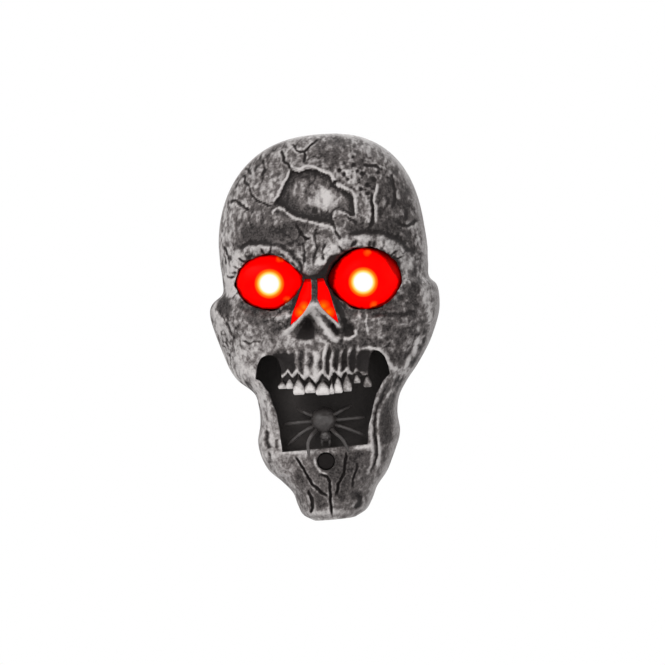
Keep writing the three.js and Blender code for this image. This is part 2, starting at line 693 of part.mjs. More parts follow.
function backCover() {
  const inset = wall + slideGap;
  const plate = prism(skullOutline(inset), 0, coverThick);
  const boxShape = (grow) =>
    shapeOf([
      [-boxHalf - grow, boxBottom - grow], [boxHalf + grow, boxBottom - grow],
      [boxHalf + grow, boxTop + grow], [-boxHalf - grow, boxTop + grow],
    ]);
  const doorWell = prism(doorOutline(slideGap), -1, doorSeat);
  const doorRim = prism(doorOutline(slideGap + 1), 0, doorSeat + 1.2);
  const ring = rod(speakerX, speakerY, speakerRadius + fitGap + 1.3, 1, coverThick + 4, 20);
  const pads = coverScrews.map(([x, y]) => rod(x, y, screwHeadRadius + slideGap + 1.3, 0, padFront, 10));
  const boardPosts = boardScrews.map(([x, y]) => rod(x, y, 2.6, 1, boardBack - fitGap, 8));
  const doorBoss = rod(0, doorScrewY, 3.4, 1, 9.5, 10);
  const box = prism(boxShape(boxWall), 1, boxFloor + boxWall);
  const solid = join(plate, box, doorRim, ring, doorBoss, ...pads, ...boardPosts);
  const tabRooms = tabPlaces.map((x) => {
    const half = doorTabWidth / 2 + slideGap;
    return block(x - half, x + half, boxBottom - boxWall - 4, boxBottom + 1, doorSeat, 5.6);
  });
  const tailRooms = [[-cellPitch, topTailY], [cellPitch, bottomTailY]].map(([x, y]) =>
    block(x - 1.4, x + 1.4, y - 0.6, y + 0.6, boxFloor - 1, boxFloor + 4));
  const cuts = [
    prism(boxShape(0), 0, boxFloor),
    doorWell,
    keyholeCut(),
    speakerSlots(),
    rod(speakerX, speakerY, speakerRadius + fitGap, coverThick, 20, 20),
    rod(0, doorScrewY, screwRadius + 0.85, 0, 8.6, 8),
    block(switchX - 6, switchX + 6, switchY - 3, switchY + 3, -1, 1),
    block(switchX - 3.4, switchX + 3.4, switchY - 1.6, switchY + 1.6, -1, 10),
    ...tabRooms,
    ...tailRooms,
    ...coverScrews.map(([x, y]) => rod(x, y, screwHeadRadius + slideGap, -1, headSeat, 10)),
    ...coverScrews.map(([x, y]) => rod(x, y, screwRadius + fitGap, -1, 10, 6)),
    ...boardScrews.map(([x, y]) => rod(x, y, screwRadius + fitGap, 0.9, 10, 6)),
  ];
  return solid.intersect(prism(skullOutline(inset), -5, beyondFace)).subtract(join(...cuts));
}

function batteryDoor() {
  const tabs = tabPlaces.map((x) => {
    const half = doorTabWidth / 2;
    const riser = block(x - half, x + half, boxBottom + fitGap, boxBottom + 2, doorThick - 0.2, 3.9);
    const hook = block(x - half, x + half, doorBottom - 2.2, boxBottom + 2, doorSeat + 0.2, 3.9);
    return join(riser, hook);
  });
  const ribs = [-0.5, 0.5].map((share) => {
    const x = share * cellPitch;
    return block(x - 0.6, x + 0.6, boxBottom + 10, boxTop - 4, doorThick - 0.5, doorThick + 1.2);
  });
  const grips = [0, 1, 2].map((i) => block(-7, 7, doorTop - 6 - 2.4 * i, doorTop - 5 - 2.4 * i, -1, 0.6));
  const plate = join(prism(doorOutline(0), 0, doorThick), ...tabs, ...ribs);
  const screwWell = rod(0, doorScrewY, screwHeadRadius + fitGap, -1, doorScrewSeat, 12);
  return plate.subtract(join(screwWell, rod(0, doorScrewY, screwRadius + fitGap, -1, 5, 10), ...grips));
}

function cellSolid() {
  return turned([
    [0, 0], [cellRadius - 0.4, 0], [cellRadius, 0.4], [cellRadius, cellLength - 1.5],
    [cellRadius - 0.4, cellLength - 1.1], [1.9, cellLength - 1.1], [1.9, cellLength], [0, cellLength],
  ], 12);
}

// Coil spring along z, measured for the least gap between its own turns
class Coil extends THREE.Curve {
  constructor(startRadius, endRadius, length, turns) {
    super();
    Object.assign(this, { startRadius, endRadius, length, turns });
  }

  getPoint(t, target = new THREE.Vector3()) {
    const radius = lerp(this.startRadius, this.endRadius, t);
    const angle = 2 * Math.PI * this.turns * t;
    return target.set(radius * Math.cos(angle), radius * Math.sin(angle), this.length * t);
  }
}

function coilSolid(name, coil, wire) {
  const steps = 8 * coil.turns;
  const points = coil.getPoints(steps);
  let least = Infinity;
  for (let i = 0; i < points.length; i += 1) {
    for (let j = i + 6; j < points.length; j += 1) {
      least = Math.min(least, points[i].distanceTo(points[j]) - wire);
    }
  }
  console.log(`${name}: least gap between its turns ${least.toFixed(2)} mm`);
  return tubeAlong(coil, steps, roundSection(wire / 2, 5));
}

// Battery contact: plate across one or two cells, with a spring under one cell's flat end
function contactSolid({ name, left, right, direction, springAt = null, tailAt = null }) {
  const near = cellMiddle - cellRadius / 2;
  const far = cellMiddle + cellRadius / 2;
  const half = contactThick / 2;
  const pieces = [block(left - contactHalf, right + contactHalf, -half, half, near, far)];
  if (springAt !== null) {
    const coil = new Coil(2.5, 1.7, contactGap - half - 2 * solderGap, 3);
    const spring = coilSolid(name, coil, 0.6).rotate([-90 * direction, 0, 0]);
    pieces.push(spring.translate([springAt, direction * (half - 0.1), cellMiddle]));
  }
  if (tailAt !== null) {
    pieces.push(block(tailAt - 1, tailAt + 1, -half, half, cellMiddle, boxFloor + boxWall + 2));
  }
  return join(...pieces);
}

// Lens dome with a flat flange behind the collar
function eyeLens(eye) {
  const flangeFront = collarEnd - fitGap;
  const dome = (grow, share, top, edge) => {
    const shrink = 1 - share;
    const z = edge + (top - edge) * Math.sqrt(1 - shrink ** 2);
    const ring = eyeRing(eye, grow, z);
    return ring.map(([x, y]) => [lerp(eye.x, x, shrink), lerp(eye.y, y, shrink), z]);
  };
  const edge = lensTop - 4.5;
  const steps = [0, 0.1, 0.35, 0.7];
  const outer = steps.map((share) => dome(-fitGap, share, lensTop, edge));
  const inner = steps.map((share) => dome(-fitGap - lensWall, share, lensTop - lensWall, edge - 0.4));
  const back = flangeFront - lensFlange;
  const body = ringLoft([
    [[eye.x, eye.y, lensTop]],
    ...outer.reverse(),
    eyeRing(eye, -fitGap, back + 0.2),
    eyeRing(eye, -fitGap - lensWall, back + 0.2),
    ...inner,
    [[eye.x, eye.y, lensTop - lensWall]],
  ]);
  const flange = prism(eyeShape(eye, collarWall - 0.2), back, flangeFront).intersect(seatRoom);
  const bore = prism(eyeShape(eye, -fitGap - lensWall + 0.1), back - 1, flangeFront + 1);
  return join(body, flange.subtract(bore));
}

// Cup that closes each collar and carries the lamp
function lampCup(eye) {
  const front = collarEnd - 2 * fitGap - lensFlange;
  const [x, y] = lampPlace(eye);
  const circle = (radius, z) => eyeRing(eye, 0, z).map((_, i, ring) => {
    const angle = (2 * Math.PI * i) / ring.length;
    return [x + radius * Math.cos(angle), y + radius * Math.sin(angle), z];
  });
  const cup = ringLoft([
    eyeRing(eye, collarWall - 0.2, front),
    eyeRing(eye, collarWall - 0.2, front - cupWall),
    eyeRing(eye, -1, front - cupWall),
    circle(lampRadius + fitGap + cupWall, cupRear),
    circle(lampRadius + fitGap, cupRear),
    circle(lampRadius + fitGap, cupRear + cupWall),
    eyeRing(eye, -1 - cupWall * 1.6, front),
  ], true);
  return cup.intersect(seatRoom);
}

function lampSolid() {
  const body = turned([
    [0, -1], [lampRadius + 0.4, -1], [lampRadius + 0.4, 0], [lampRadius, 0],
    [lampRadius, lampLength - lampRadius], [lampRadius * 0.75, lampLength - lampRadius / 3], [0, lampLength],
  ], 10);
  const legs = [-1.27, 1.27].map((y) => block(-0.25, 0.25, y - 0.25, y + 0.25, -4, -0.5));
  return join(body, ...legs);
}

// Red insert behind the nose, with ribs that fill the two slits
function noseLens() {
  const outline = shapeOf([
    [noseX - 13.2, -0.6], [noseX + 13, -0.6], [noseX + 4, noseTipY + 7],
    [noseX + 2.6, noseTopY - 7], [noseX - 3.4, noseTopY - 7], [noseX - 4.5, noseTipY + 7],
  ]);
  const skinny = prism(outline, 20, beyondFace).intersect(seatRoom.subtract(cavityOf(wall + fitGap + 1.6)));
  const below = sunkSkin(slitRecess);
  const ribs = [-1, 1].map((side) => prism(slitShape(side, fitGap), 20, beyondFace).intersect(below));
  const ribRoots = ribs.map((rib) => rib.subtract(cavityOf(wall + fitGap + 1)));
  const collars = eyes.map((eye) => prism(eyeShape(eye, collarWall + fitGap), 10, beyondFace));
  return join(skinny, ...ribRoots).subtract(join(...collars));
}

function mouthTray() {
  const ears = trayScrews.map(([x, y]) => block(x - 4, x + 4, trayTop - 1, y + 3.6, trayBack, trayFront));
  const inside = prism(trayShape(-trayWall), trayFront, beyondFace + 1);
  const body = prism(trayShape(0), trayBack, beyondFace).subtract(inside);
  const well = rod(spiderX, spiderY, wellRadius + 1.2, wellBack, trayBack + 0.5, 24);
  const seated = join(body, ...ears).intersect(seatRoom);
  const cuts = [
    rod(spiderX, spiderY, wellRadius, wellFloor, beyondFace, 24),
    rod(spiderX, spiderY, stemRadius + slideGap, 0, beyondFace, 18),
    ...trayScrews.map(([x, y]) => rod(x, y, screwRadius + fitGap, 0, beyondFace, 10)),
  ];
  return join(seated, well).subtract(join(...cuts));
}

// Spider: domed abdomen, head with two fangs, and eight legs. Each leg has its side, the rise of its root,
// and the angle above level and the reach of its knee and tip, in shares of the abdomen's radius.
const legPlan = [
  { side: -1, root: 0.3, knee: [25, 1.6], tip: [25, 2.3] },
  { side: 1, root: 0.3, knee: [26, 1.6], tip: [26, 2.4] },
  { side: -1, root: -0.05, knee: [-3, 2], tip: [-3.5, 3.2] },
  { side: 1, root: -0.02, knee: [1.5, 2], tip: [2, 3.2] },
  { side: -1, root: -0.36, knee: [-29, 2.2], tip: [-32.5, 3.45] },
  { side: 1, root: -0.32, knee: [-21, 2.2], tip: [-23, 3.45] },
  { side: -1, root: -0.66, knee: [-57, 2.1], tip: [-68.5, 3], overLip: true },
  { side: 1, root: -0.66, knee: [-45, 2.3], tip: [-51.5, 3.3], overLip: true },
];
const spiderMiddle = spiderBack + spiderRadius * 0.68;
const pressRoom = pressTravel + slideGap; // clear space under whatever moves with the button
const headDepth = spiderRadius * 0.45;

function legCurve({ side, root, knee, tip, overLip }) {
  const place = ([angle, reach], z) => {
    const turn = THREE.MathUtils.degToRad(angle);
    const out = reach * spiderRadius;
    return [spiderX + side * out * Math.cos(turn), spiderY + out * Math.sin(turn), z];
  };
  const acrossLip = surfaceDepth(0, lipY - 2) + pressRoom + 1.3 * legRadius;
  const kneeZ = overLip ? acrossLip : spiderMiddle + spiderRadius * 0.57;
  const tipZ = overLip ? acrossLip : trayFront + pressRoom + 1.4 * legRadius;
  const hip = [spiderX + side * spiderRadius * 0.5, spiderY + root * spiderRadius, spiderMiddle - legRadius];
  const bend = place(knee, kneeZ);
  const shoulder = [lerp(hip[0], bend[0], 0.5), lerp(hip[1], bend[1], 0.4), kneeZ - legRadius];
  return smoothThrough([hip, shoulder, bend, place(tip, tipZ)]);
}

function spiderSolid() {
  const abdomen = new THREE.SphereGeometry(spiderRadius, 12, 8).scale(1, 0.98, 0.92);
  const head = new THREE.SphereGeometry(spiderRadius, 10, 7).scale(0.49, 0.64, headDepth / spiderRadius);
  const headX = spiderX + 0.1 * spiderRadius;
  const headZ = trayFront + pressRoom + headDepth;
  const fangs = [-0.25, 0.25].map((share) => {
    const fang = new THREE.ConeGeometry(1.1 * legRadius, 0.36 * spiderRadius, 5).rotateX(Math.PI);
    return solidOf(fang.translate(headX + share * spiderRadius, spiderY - 1.86 * spiderRadius, headZ));
  });
  const legs = legPlan.map((leg) => tubeAlong(legCurve(leg), 4, roundSection(legRadius, 5)));
  const body = join(
    solidOf(abdomen.translate(spiderX, spiderY, spiderMiddle)),
    solidOf(head.translate(headX, spiderY - 1.3 * spiderRadius, headZ)),
    ...fangs,
    ...legs,
  );
  const below = block(mouthLeft, mouthRight, chinBottom, 0, 0, spiderBack);
  const stemHole = rod(spiderX, spiderY, stemRadius * 0.6 + fitGap, 0, spiderBack + pegLength + fitGap, 12);
  return body.subtract(join(below, stemHole));
}

function buttonPlunger() {
  const neck = stemRadius - 0.7;
  const solid = turned([
    [0, stemEnd], [stemRadius, stemEnd], [stemRadius, clipBack - 0.1], [neck, clipBack - 0.1],
    [neck, clipBack + clipThick + 0.1], [stemRadius, clipBack + clipThick + 0.1], [stemRadius, flangeBack],
    [buttonFlangeRadius, flangeBack], [buttonFlangeRadius, flangeFront], [stemRadius * 0.6, flangeFront],
    [stemRadius * 0.6, spiderBack + pegLength], [0, spiderBack + pegLength],
  ], 12);
  return solid.translate([spiderX, spiderY, 0]);
}

function retainingClip() {
  const bore = stemRadius - 0.7 + fitGap;
  const ring = rod(spiderX, spiderY, stemRadius + 1.7, clipBack, clipBack + clipThick, 18);
  const mouth = block(spiderX - 1, spiderX + 1, spiderY - 10, spiderY, 0, 40);
  return ring.subtract(join(rod(spiderX, spiderY, bore, 0, 40, 14), mouth));
}

function buttonSpring() {
  const length = springRest - springWire - 2 * solderGap;
  const radius = (stemRadius + slideGap + buttonFlangeRadius) / 2;
  const coil = new Coil(radius, radius, length, 3);
  const spring = coilSolid("button_spring", coil, springWire);
  return spring.translate([spiderX, spiderY, wellFloor + springWire / 2 + solderGap]);
}

// Board and what is soldered to it
function mainBoard() {
  const holes = boardScrews.map(([x, y]) => rod(x, y, screwRadius + fitGap, 0, 20, 10));
  return block(boardLeft, boardRight, boardBottom, boardTop, boardBack, boardFront).subtract(join(...holes));
}

function tactSwitch() {
  const half = tactSize / 2;
  const front = tactBack + tactHeight;
  const body = block(spiderX - half, spiderX + half, spiderY - half, spiderY + half, tactBack, front);
  return join(body, rod(spiderX, spiderY, 1.7, front - 0.5, tactTop, 12));
}

const sensorTop = flangeFront;

function lightSensor() {
  const base = sensorTop - 8.6;
  const shoulder = [1.7, sensorTop - 0.3];
  const body = turned([[0, base], [2.5, base], [2.5, sensorTop - 1.6], shoulder, [0, sensorTop]], 14);
  const legs = [-1.27, 1.27].map((x) => block(x - 0.25, x + 0.25, -0.25, 0.25, tactBack, base + 0.5));
  return join(body, ...legs).translate([windowX, windowY, 0]);
}

function sensorWindow() {
  const radius = windowRadius - fitGap;
  const back = sensorTop + fitGap;
  const front = surfaceDepth(windowX, windowY) - fitGap;
  const rim = [[radius, back], [radius, front - 0.5], [radius - 0.6, front]];
  const disc = turned([[0, back], ...rim, [0, front]], 20);
  return disc.translate([windowX, windowY, 0]);
}

// Speaker in its ring, facing the slots
function speakerFrame() {
  const seat = coverThick + fitGap;
  return turned([
    [0, seat + 3.2], [7.8, seat + 3.2], [speakerRadius - 1.6, seat + 0.9], [speakerRadius - 1.6, seat],
    [speakerRadius, seat], [speakerRadius, seat + 1.2], [speakerRadius - 2, seat + 1.2], [8.6, seat + 3.6],
    [8.6, seat + speakerDepth], [0, seat + speakerDepth],
  ], 20).translate([speakerX, speakerY, 0]);
}

function speakerCone() {
  const seat = coverThick + fitGap;
  return turned([
    [0, seat + 1.4], [3, seat + 1.4], [4, seat + 2.2], [7.4, seat + 2.2], [speakerRadius - 2, seat + 0.2],
    [speakerRadius - 2, seat + 0.5], [7.6, seat + 2.8], [0, seat + 2.8],
  ], 20).translate([speakerX, speakerY, 0]);
}

// Slide switch behind its slot
const sliderHalf = 1.5;
const switchBack = coverThick + fitGap;

function switchBody() {
  const reach = sliderHalf + switchTravel / 2 + slideGap;
  const front = switchBack + 4.2;
  const shellBlock = block(switchX - 5, switchX + 5, switchY - 2.8, switchY + 2.8, switchBack, front);
  const pins = [-2.5, 0, 2.5].map((place) => {
    const x = switchX + place;
    return block(x - 0.4, x + 0.4, switchY - 0.25, switchY + 0.25, front - 0.2, front + 2.2);
  });
  const room = block(switchX - reach, switchX + reach, switchY - 1.5, switchY + 1.5, 0, switchBack + 3);
  return join(shellBlock, ...pins).subtract(room);
}

function switchSlider() {
  const x = switchX - switchTravel / 2;
  const knob = block(x - sliderHalf, x + sliderHalf, switchY - 1.1, switchY + 1.1, 0.4, switchBack + 2.7);
  const grooves = [-0.7, 0.7].map((place) => block(x + place - 0.2, x + place + 0.2, -20, 20, 0, 0.8));
  return knob.subtract(join(...grooves));
}

// Leads, each from solder joint to solder joint
const leadRadius = 0.6;
const leadSection = roundSection(leadRadius, 5);
const twinSection = shapeOf([
  [-1.1, -0.3], [-0.6, -0.55], [0.6, -0.55], [1.1, -0.3],
  [1.1, 0.3], [0.6, 0.55], [-0.6, 0.55], [-1.1, 0.3],
]);

function leadSolid(points, section, steps = 12) {
  const geometry = new THREE.ExtrudeGeometry(section, {
    steps, extrudePath: smoothThrough(points), bevelEnabled: false, curveSegments: 4,
  });
  return solidOf(geometry);
}

const tailEnd = boxFloor + boxWall + 2 + fitGap + leadRadius;
const boardLead = boardFront + fitGap + 0.4;

// The assembly, from the wall outward
addPiece("front_shell", frontShell(), boneGrey);
addPiece("back_cover", backCover(), blackPlastic);
addPiece("battery_door", batteryDoor(), blackPlastic);
addPiece("battery_door_screw", screwSolid(6), steel, [0, doorScrewY, doorScrewSeat - solderGap]);
coverScrews.forEach(([x, y], i) => {
  addPiece(`cover_screw_${i + 1}`, screwSolid(screwLength), steel, [x, y, headSeat - 0.1]);
});

const cellBottoms = [contactStack + contactGap, contactStack, contactStack + contactGap];
cellBottoms.forEach((rise, i) => {
  const upright = cellSolid().rotate([-90, 0, 0]);
  const cell = i === 1 ? upright.rotate([0, 0, 180]).translate([0, cellLength, 0]) : upright;
  addPiece(`battery_cell_${i + 1}`, cell, cellGreen, [(i - 1) * cellPitch, boxBottom + rise, cellMiddle]);
});
[
  { name: "contact_top_left", left: -cellPitch, right: -cellPitch, direction: -1, tailAt: -cellPitch },
  { name: "contact_top_bridge", left: 0, right: cellPitch, direction: -1, springAt: 0 },
  { name: "contact_bottom_bridge", left: -cellPitch, right: 0, direction: 1, springAt: -cellPitch },
  {
    name: "contact_bottom_right", left: cellPitch, right: cellPitch, direction: 1,
    springAt: cellPitch, tailAt: cellPitch,
  },
].forEach((contact) => {
  const y = contact.direction < 0 ? topTailY : bottomTailY;
  addPiece(contact.name, contactSolid(contact), steel, [0, y, 0]);
});

addPiece("main_board", mainBoard(), boardGreen);
boardScrews.forEach(([x, y], i) => {
  const upsideDown = screwSolid(boardFront - 1.4).rotate([180, 0, 0]);
  addPiece(`board_screw_${i + 1}`, upsideDown, steel, [x, y, boardFront + solderGap]);
});
addPiece("press_switch", tactSwitch(), blackPlastic);
const blob = turned([[0, 0], [5, 0], [4.6, 0.8], [3, 1.4], [0, 1.6]], 14);
addPiece("sound_chip", blob, blackPlastic, [boardLeft + 7, boardBottom + 9.5, tactBack]);
const canister = turned([[0, 0], [3.1, 0], [3.1, 6.8], [2.7, 7.1], [0, 7.1]], 14);
addPiece("capacitor", canister, paint(0x30343c, 0.4), [boardRight - 5.1, boardTop - 7.4, tactBack]);
addPiece("light_sensor", lightSensor(), paint(0x3a3f46, 0.2));
addPiece("sensor_window", sensorWindow(), paint(0x141212, 0.2));

addPiece("mouth_tray", mouthTray(), blackPlastic);
trayScrews.forEach(([x, y], i) => {
  addPiece(`tray_screw_${i + 1}`, screwSolid(screwLength - 1), steel, [x, y, trayBack - solderGap]);
});
addPiece("spider", spiderSolid(), blackPlastic);
addPiece("button_plunger", buttonPlunger(), paint(0x34302f, 0.5));
addPiece("retaining_clip", retainingClip(), steel);
addPiece("button_spring", buttonSpring(), steel);

eyes.forEach((eye) => {
  const [x, y] = lampPlace(eye);
  addPiece(`eye_lens_${eye.side}`, eyeLens(eye), redLens);
  addPiece(`lamp_cup_${eye.side}`, lampCup(eye), blackPlastic);
  addPiece(`lamp_${eye.side}`, lampSolid(), clearRed, [x, y, cupRear - fitGap]);
});
addPiece("nose_lens", noseLens(), redLens);

addPiece("speaker_frame", speakerFrame(), steel);
addPiece("speaker_cone", speakerCone(), paint(0x1a1a1a, 0.8));
addPiece("power_switch_body", switchBody(), steel);
addPiece("power_switch_slider", switchSlider(), blackPlastic);

addPiece("battery_lead_red", leadSolid([
  [-cellPitch, topTailY, tailEnd], [-7, 52, 18.6], [-1, 40, 19], [1, 22, 19],
  [5, 10, 19.4], [12, 4, 19], [19, 0, 15], [switchX - 2.5, switchY + 1.6, 10],
], leadSection), redVinyl);
addPiece("battery_lead_black", leadSolid([
  [cellPitch, bottomTailY, tailEnd], [6, 7, 17.2], [2, 0, 14.4],
  [2, -14, 12], [3.2, -26, 9], [3.2, -33, boardLead],
], leadSection), blackVinyl);
addPiece("switch_lead", leadSolid([
  [24, -8, 9.9], [25, -14, 9.6], [21, -24, 8], [14.4, -33, boardLead],
], leadSection), redVinyl);
addPiece("speaker_lead", leadSolid([
  [-18, -20, coverThick + 6.4], [-16, -26, 8.6], [-13, -35, 8.4], [-11, -43, boardLead + 0.6],
], twinSection, 10), blackVinyl);
addPiece("eye_lead_left", leadSolid([
  [...lampPlace(eyes[0]), 10.3], [-20.9, 10, 11.4], [-19, 0, 12.4],
  [-15, -14, 12], [-9, -26, 9], [-6.5, -33, boardLead + 0.6],
], twinSection, 12), redVinyl);
addPiece("eye_lead_right", leadSolid([
  [...lampPlace(eyes[1]), 10.3], [21.2, 10, 11], [19.5, 2, 11.4],
  [14, -10, 12], [10, -24, 9], [8.4, -33, boardLead + 0.6],
], twinSection, 12), redVinyl);

export default assembly;
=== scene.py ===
"""Dress the wall-hung skull for its portrait.

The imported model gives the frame. The skull's shell, teeth, eye lenses, nose insert, spider, sensor window and
return spring are rebuilt here as fine surfaces, and every other piece keeps its solid and gets a finish.
Sizes inside the classes are millimetres in the face frame: x to the viewer's right, z up the face and
depth out from the wall. Meshes are in metres, with depth along -Y.
"""

from __future__ import annotations

import logging
import math
from dataclasses import dataclass
from enum import Enum
from typing import Sequence

import bpy
import numpy as np
from mathutils import Matrix, Vector


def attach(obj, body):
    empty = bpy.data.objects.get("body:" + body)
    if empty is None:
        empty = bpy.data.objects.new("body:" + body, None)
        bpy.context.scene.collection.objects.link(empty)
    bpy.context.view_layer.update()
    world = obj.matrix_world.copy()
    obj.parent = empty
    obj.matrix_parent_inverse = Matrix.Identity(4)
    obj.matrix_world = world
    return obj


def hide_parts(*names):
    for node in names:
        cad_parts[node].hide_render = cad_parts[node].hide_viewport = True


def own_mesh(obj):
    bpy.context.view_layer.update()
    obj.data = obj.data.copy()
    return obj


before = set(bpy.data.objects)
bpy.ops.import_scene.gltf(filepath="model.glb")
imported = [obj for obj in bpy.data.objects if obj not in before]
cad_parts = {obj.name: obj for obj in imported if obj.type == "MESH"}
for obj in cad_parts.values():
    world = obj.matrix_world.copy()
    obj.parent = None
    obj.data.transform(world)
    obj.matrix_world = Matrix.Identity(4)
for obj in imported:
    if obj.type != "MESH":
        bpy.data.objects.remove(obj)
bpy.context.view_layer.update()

MM = 0.001
HASH_WAVES = (127.1, 311.7, 74.7)
HASH_HEIGHT = 43758.5453
LOG = logging.getLogger("skull")
Array = np.ndarray
Point = tuple[float, float]
Colour = tuple[float, float, float]
Faces = list[list[int]]
Solid = tuple[Array, Faces]
Marks = tuple[Array, Array]
Points = tuple[Point, ...]
Sizes = tuple[float, float, float]
Stops = tuple[tuple[float, Colour], ...]
Mesh = bpy.types.Mesh
Material = bpy.types.Material
Piece = bpy.types.Object


class Body(Enum):
    """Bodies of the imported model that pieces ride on."""

    HOUSING = "housing"
    BUTTON = "spider_button"


class Side(Enum):
    """The viewer's left or right."""

    LEFT = -1
    RIGHT = 1


class Ease(Enum):
    """How a share runs from one value to another."""

    SMOOTH = "SMOOTHSTEP"
    STRAIGHT = "LINEAR"


def smoothstep(value: Array, start: float, end: float) -> Array:
    """Ease from 0 at the start to 1 at the end, which may be the lower one, level at both."""
    share = np.clip((value - start) / (end - start), 0.0, 1.0)
    return share * share * (3.0 - 2.0 * share)


def bell(offset: Array, reach: float | Array, power: int = 2) -> Array:
    """Bell of height 1 at offset 0, falling off over a reach; a higher power squares its shoulders."""
    return np.exp(-((offset / reach) ** power))


def around(count: int) -> Array:
    """Angles of a full turn in even steps, without its end."""
    return np.linspace(0, 2 * math.pi, count, endpoint=False)


def hash_share(column: Array, row: Array, seed: int) -> Array:
    """Repeatable share from 0 to 1 for each whole-numbered lattice point: what is left of a steep wave."""
    wave = np.sin(column * HASH_WAVES[0] + row * HASH_WAVES[1] + seed * HASH_WAVES[2]) * HASH_HEIGHT
    return wave - np.floor(wave)


def lattice_noise(x: Array, z: Array, size: float, seed: int) -> Array:
    """Noise: values on a square lattice, eased between the four nearest.

    Args:
        x, z: Places.
        size: Distance between lattice points.
        seed: Which noise.

    Returns:
        A value from -1 to 1 for each place.
    """
    across, up = x / size, z / size
    column, row = np.floor(across), np.floor(up)
    u, v = smoothstep(across - column, 0, 1), smoothstep(up - row, 0, 1)
    low = hash_share(column, row, seed) * (1 - u) + hash_share(column + 1, row, seed) * u
    high = hash_share(column, row + 1, seed) * (1 - u) + hash_share(column + 1, row + 1, seed) * u
    return 2 * (low * (1 - v) + high * v) - 1


def layered_noise(x: Array, z: Array, size: float, seed: int, layers: int = 3) -> Array:
    """Lattice noise added up in turned layers, each half the size and about half the height of the last.

    Args:
        x, z: Places.
        size: Distance between the first layer's lattice points.
        seed: Which noise.
        layers: How many layers.

    Returns:
        A value about 0 for each place.
    """
    first_turn, next_turn, fall = 0.6, 0.9, 0.55
    total = np.zeros_like(x)
    for layer in range(layers):
        turn = first_turn + next_turn * layer
        along = x * math.cos(turn) - z * math.sin(turn)
        over = x * math.sin(turn) + z * math.cos(turn)
        total += fall**layer * lattice_noise(along, over, size / 2**layer, seed + layer)
    return total


def nearest_pit(x: Array, z: Array, size: float, seed: int) -> Array:
    """Distance to the nearest of scattered points, one in each square cell.

    Args:
        x, z: Places.
        size: Side of a cell.
        seed: Which points.

    Returns:
        The distance in shares of a cell.
    """
    column, row = np.floor(x / size), np.floor(z / size)
    least = np.full_like(x, np.inf)
    for step_x in (-1, 0, 1):
        for step_z in (-1, 0, 1):
            cell_x, cell_z = column + step_x, row + step_z
            point_x = cell_x + hash_share(cell_x, cell_z, seed)
            point_z = cell_z + hash_share(cell_x, cell_z, seed + 17)
            least = np.minimum(least, np.hypot(x / size - point_x, z / size - point_z))
    return least


def path_distance(x: Array, z: Array, path: Sequence[Point]) -> tuple[Array, Array]:
    """Distance to a line of straight stretches.

    Args:
        x, z: Places.
        path: Corners of the line.

    Returns:
        The least distance, and the share of the line's length at the nearest point.
    """
    corners = np.array(path, float)
    runs = np.diff(corners, axis=0)
    lengths = np.hypot(runs[:, 0], runs[:, 1])
    starts = np.concatenate([[0.0], np.cumsum(lengths)])
    least = np.full(np.shape(x), np.inf)
    share = np.zeros(np.shape(x))
    for corner, run, length, start in zip(corners, runs, lengths, starts):
        along = np.clip(((x - corner[0]) * run[0] + (z - corner[1]) * run[1]) / length**2, 0, 1)
        gap = np.hypot(x - corner[0] - along * run[0], z - corner[1] - along * run[1])
        nearer = gap < least
        least = np.where(nearer, gap, least)
        share = np.where(nearer, (start + along * length) / starts[-1], share)
    return least, share


def inside_outline(x: Array, z: Array, outline: Sequence[Point]) -> Array:
    """Tell which places lie inside a closed outline: an odd number of its sides pass to their right.

    Args:
        x, z: Places.
        outline: Its corners in order.

    Returns:
        True for each place inside.
    """
    corners = np.array(outline, float)
    inside = np.zeros(np.shape(x), bool)
    for (ax, az), (bx, bz) in zip(corners, np.roll(corners, -1, axis=0)):
        if az != bz:
            level = ax + (z - az) * (bx - ax) / (bz - az)
            inside ^= ((az > z) != (bz > z)) & (x < level)
    return inside


def bend(start: Point, control: Point, end: Point, count: int = 24) -> Array:
    """Curve from start toward a control point and on to the end, their mean by squares of the share."""
    share = np.linspace(0, 1, count, endpoint=False)[:, None]
    return (1 - share) ** 2 * start + 2 * share * (1 - share) * control + share**2 * end


class SmoothLine:
    """Smooth value along a line, through a few landmarks."""

    def __init__(self, *marks: Point) -> None:
        """Keep the landmarks, each a place and its value, in order."""
        self.places, self.values = np.array(marks, float).T

    def __call__(self, place: Array) -> Array:
        """Follow the line: cubic stretches whose slope at a landmark is the mean of its two sides'.

        Args:
            place: Where along the line.

        Returns:
            The value at each place.
        """
        steps = np.diff(self.places)
        slopes = np.diff(self.values) / steps
        tangents = np.concatenate([slopes[:1], (slopes[:-1] + slopes[1:]) / 2, slopes[-1:]])
        place = np.clip(place, self.places[0], self.places[-1])
        index = np.clip(np.searchsorted(self.places, place, side="right") - 1, 0, len(steps) - 1)
        step = steps[index]
        t = (place - self.places[index]) / step
        start = (1 + 2 * t) * (1 - t) ** 2 * self.values[index]
        end = t * t * (3 - 2 * t) * self.values[index + 1]
        lean = t * (1 - t) ** 2 * tangents[index] - t * t * (1 - t) * tangents[index + 1]
        return start + end + step * lean


def smooth_path(points: Sequence[Sequence[float]], count: int) -> Array:
    """Points on a smooth line through others, each of its coordinates a smooth line of its own."""
    place = np.linspace(0, len(points) - 1, count)
    return np.column_stack([SmoothLine(*enumerate(axis))(place) for axis in zip(*points)])


def make_mesh(name: str, points: Array, faces: Faces) -> Mesh:
    """Make a mesh.

    Args:
        name: The mesh's name.
        points: Face-frame millimetres, one row of x, z and depth for each point.
        faces: Corner numbers of each face, counterclockwise from outside.

    Returns:
        The mesh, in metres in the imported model's frame.
    """
    rows = np.column_stack([points[:, 0], -points[:, 2], points[:, 1]]) * MM
    made = bpy.data.meshes.new(name)
    made.from_pydata(rows.tolist(), [], faces)
    made.update()
    return made


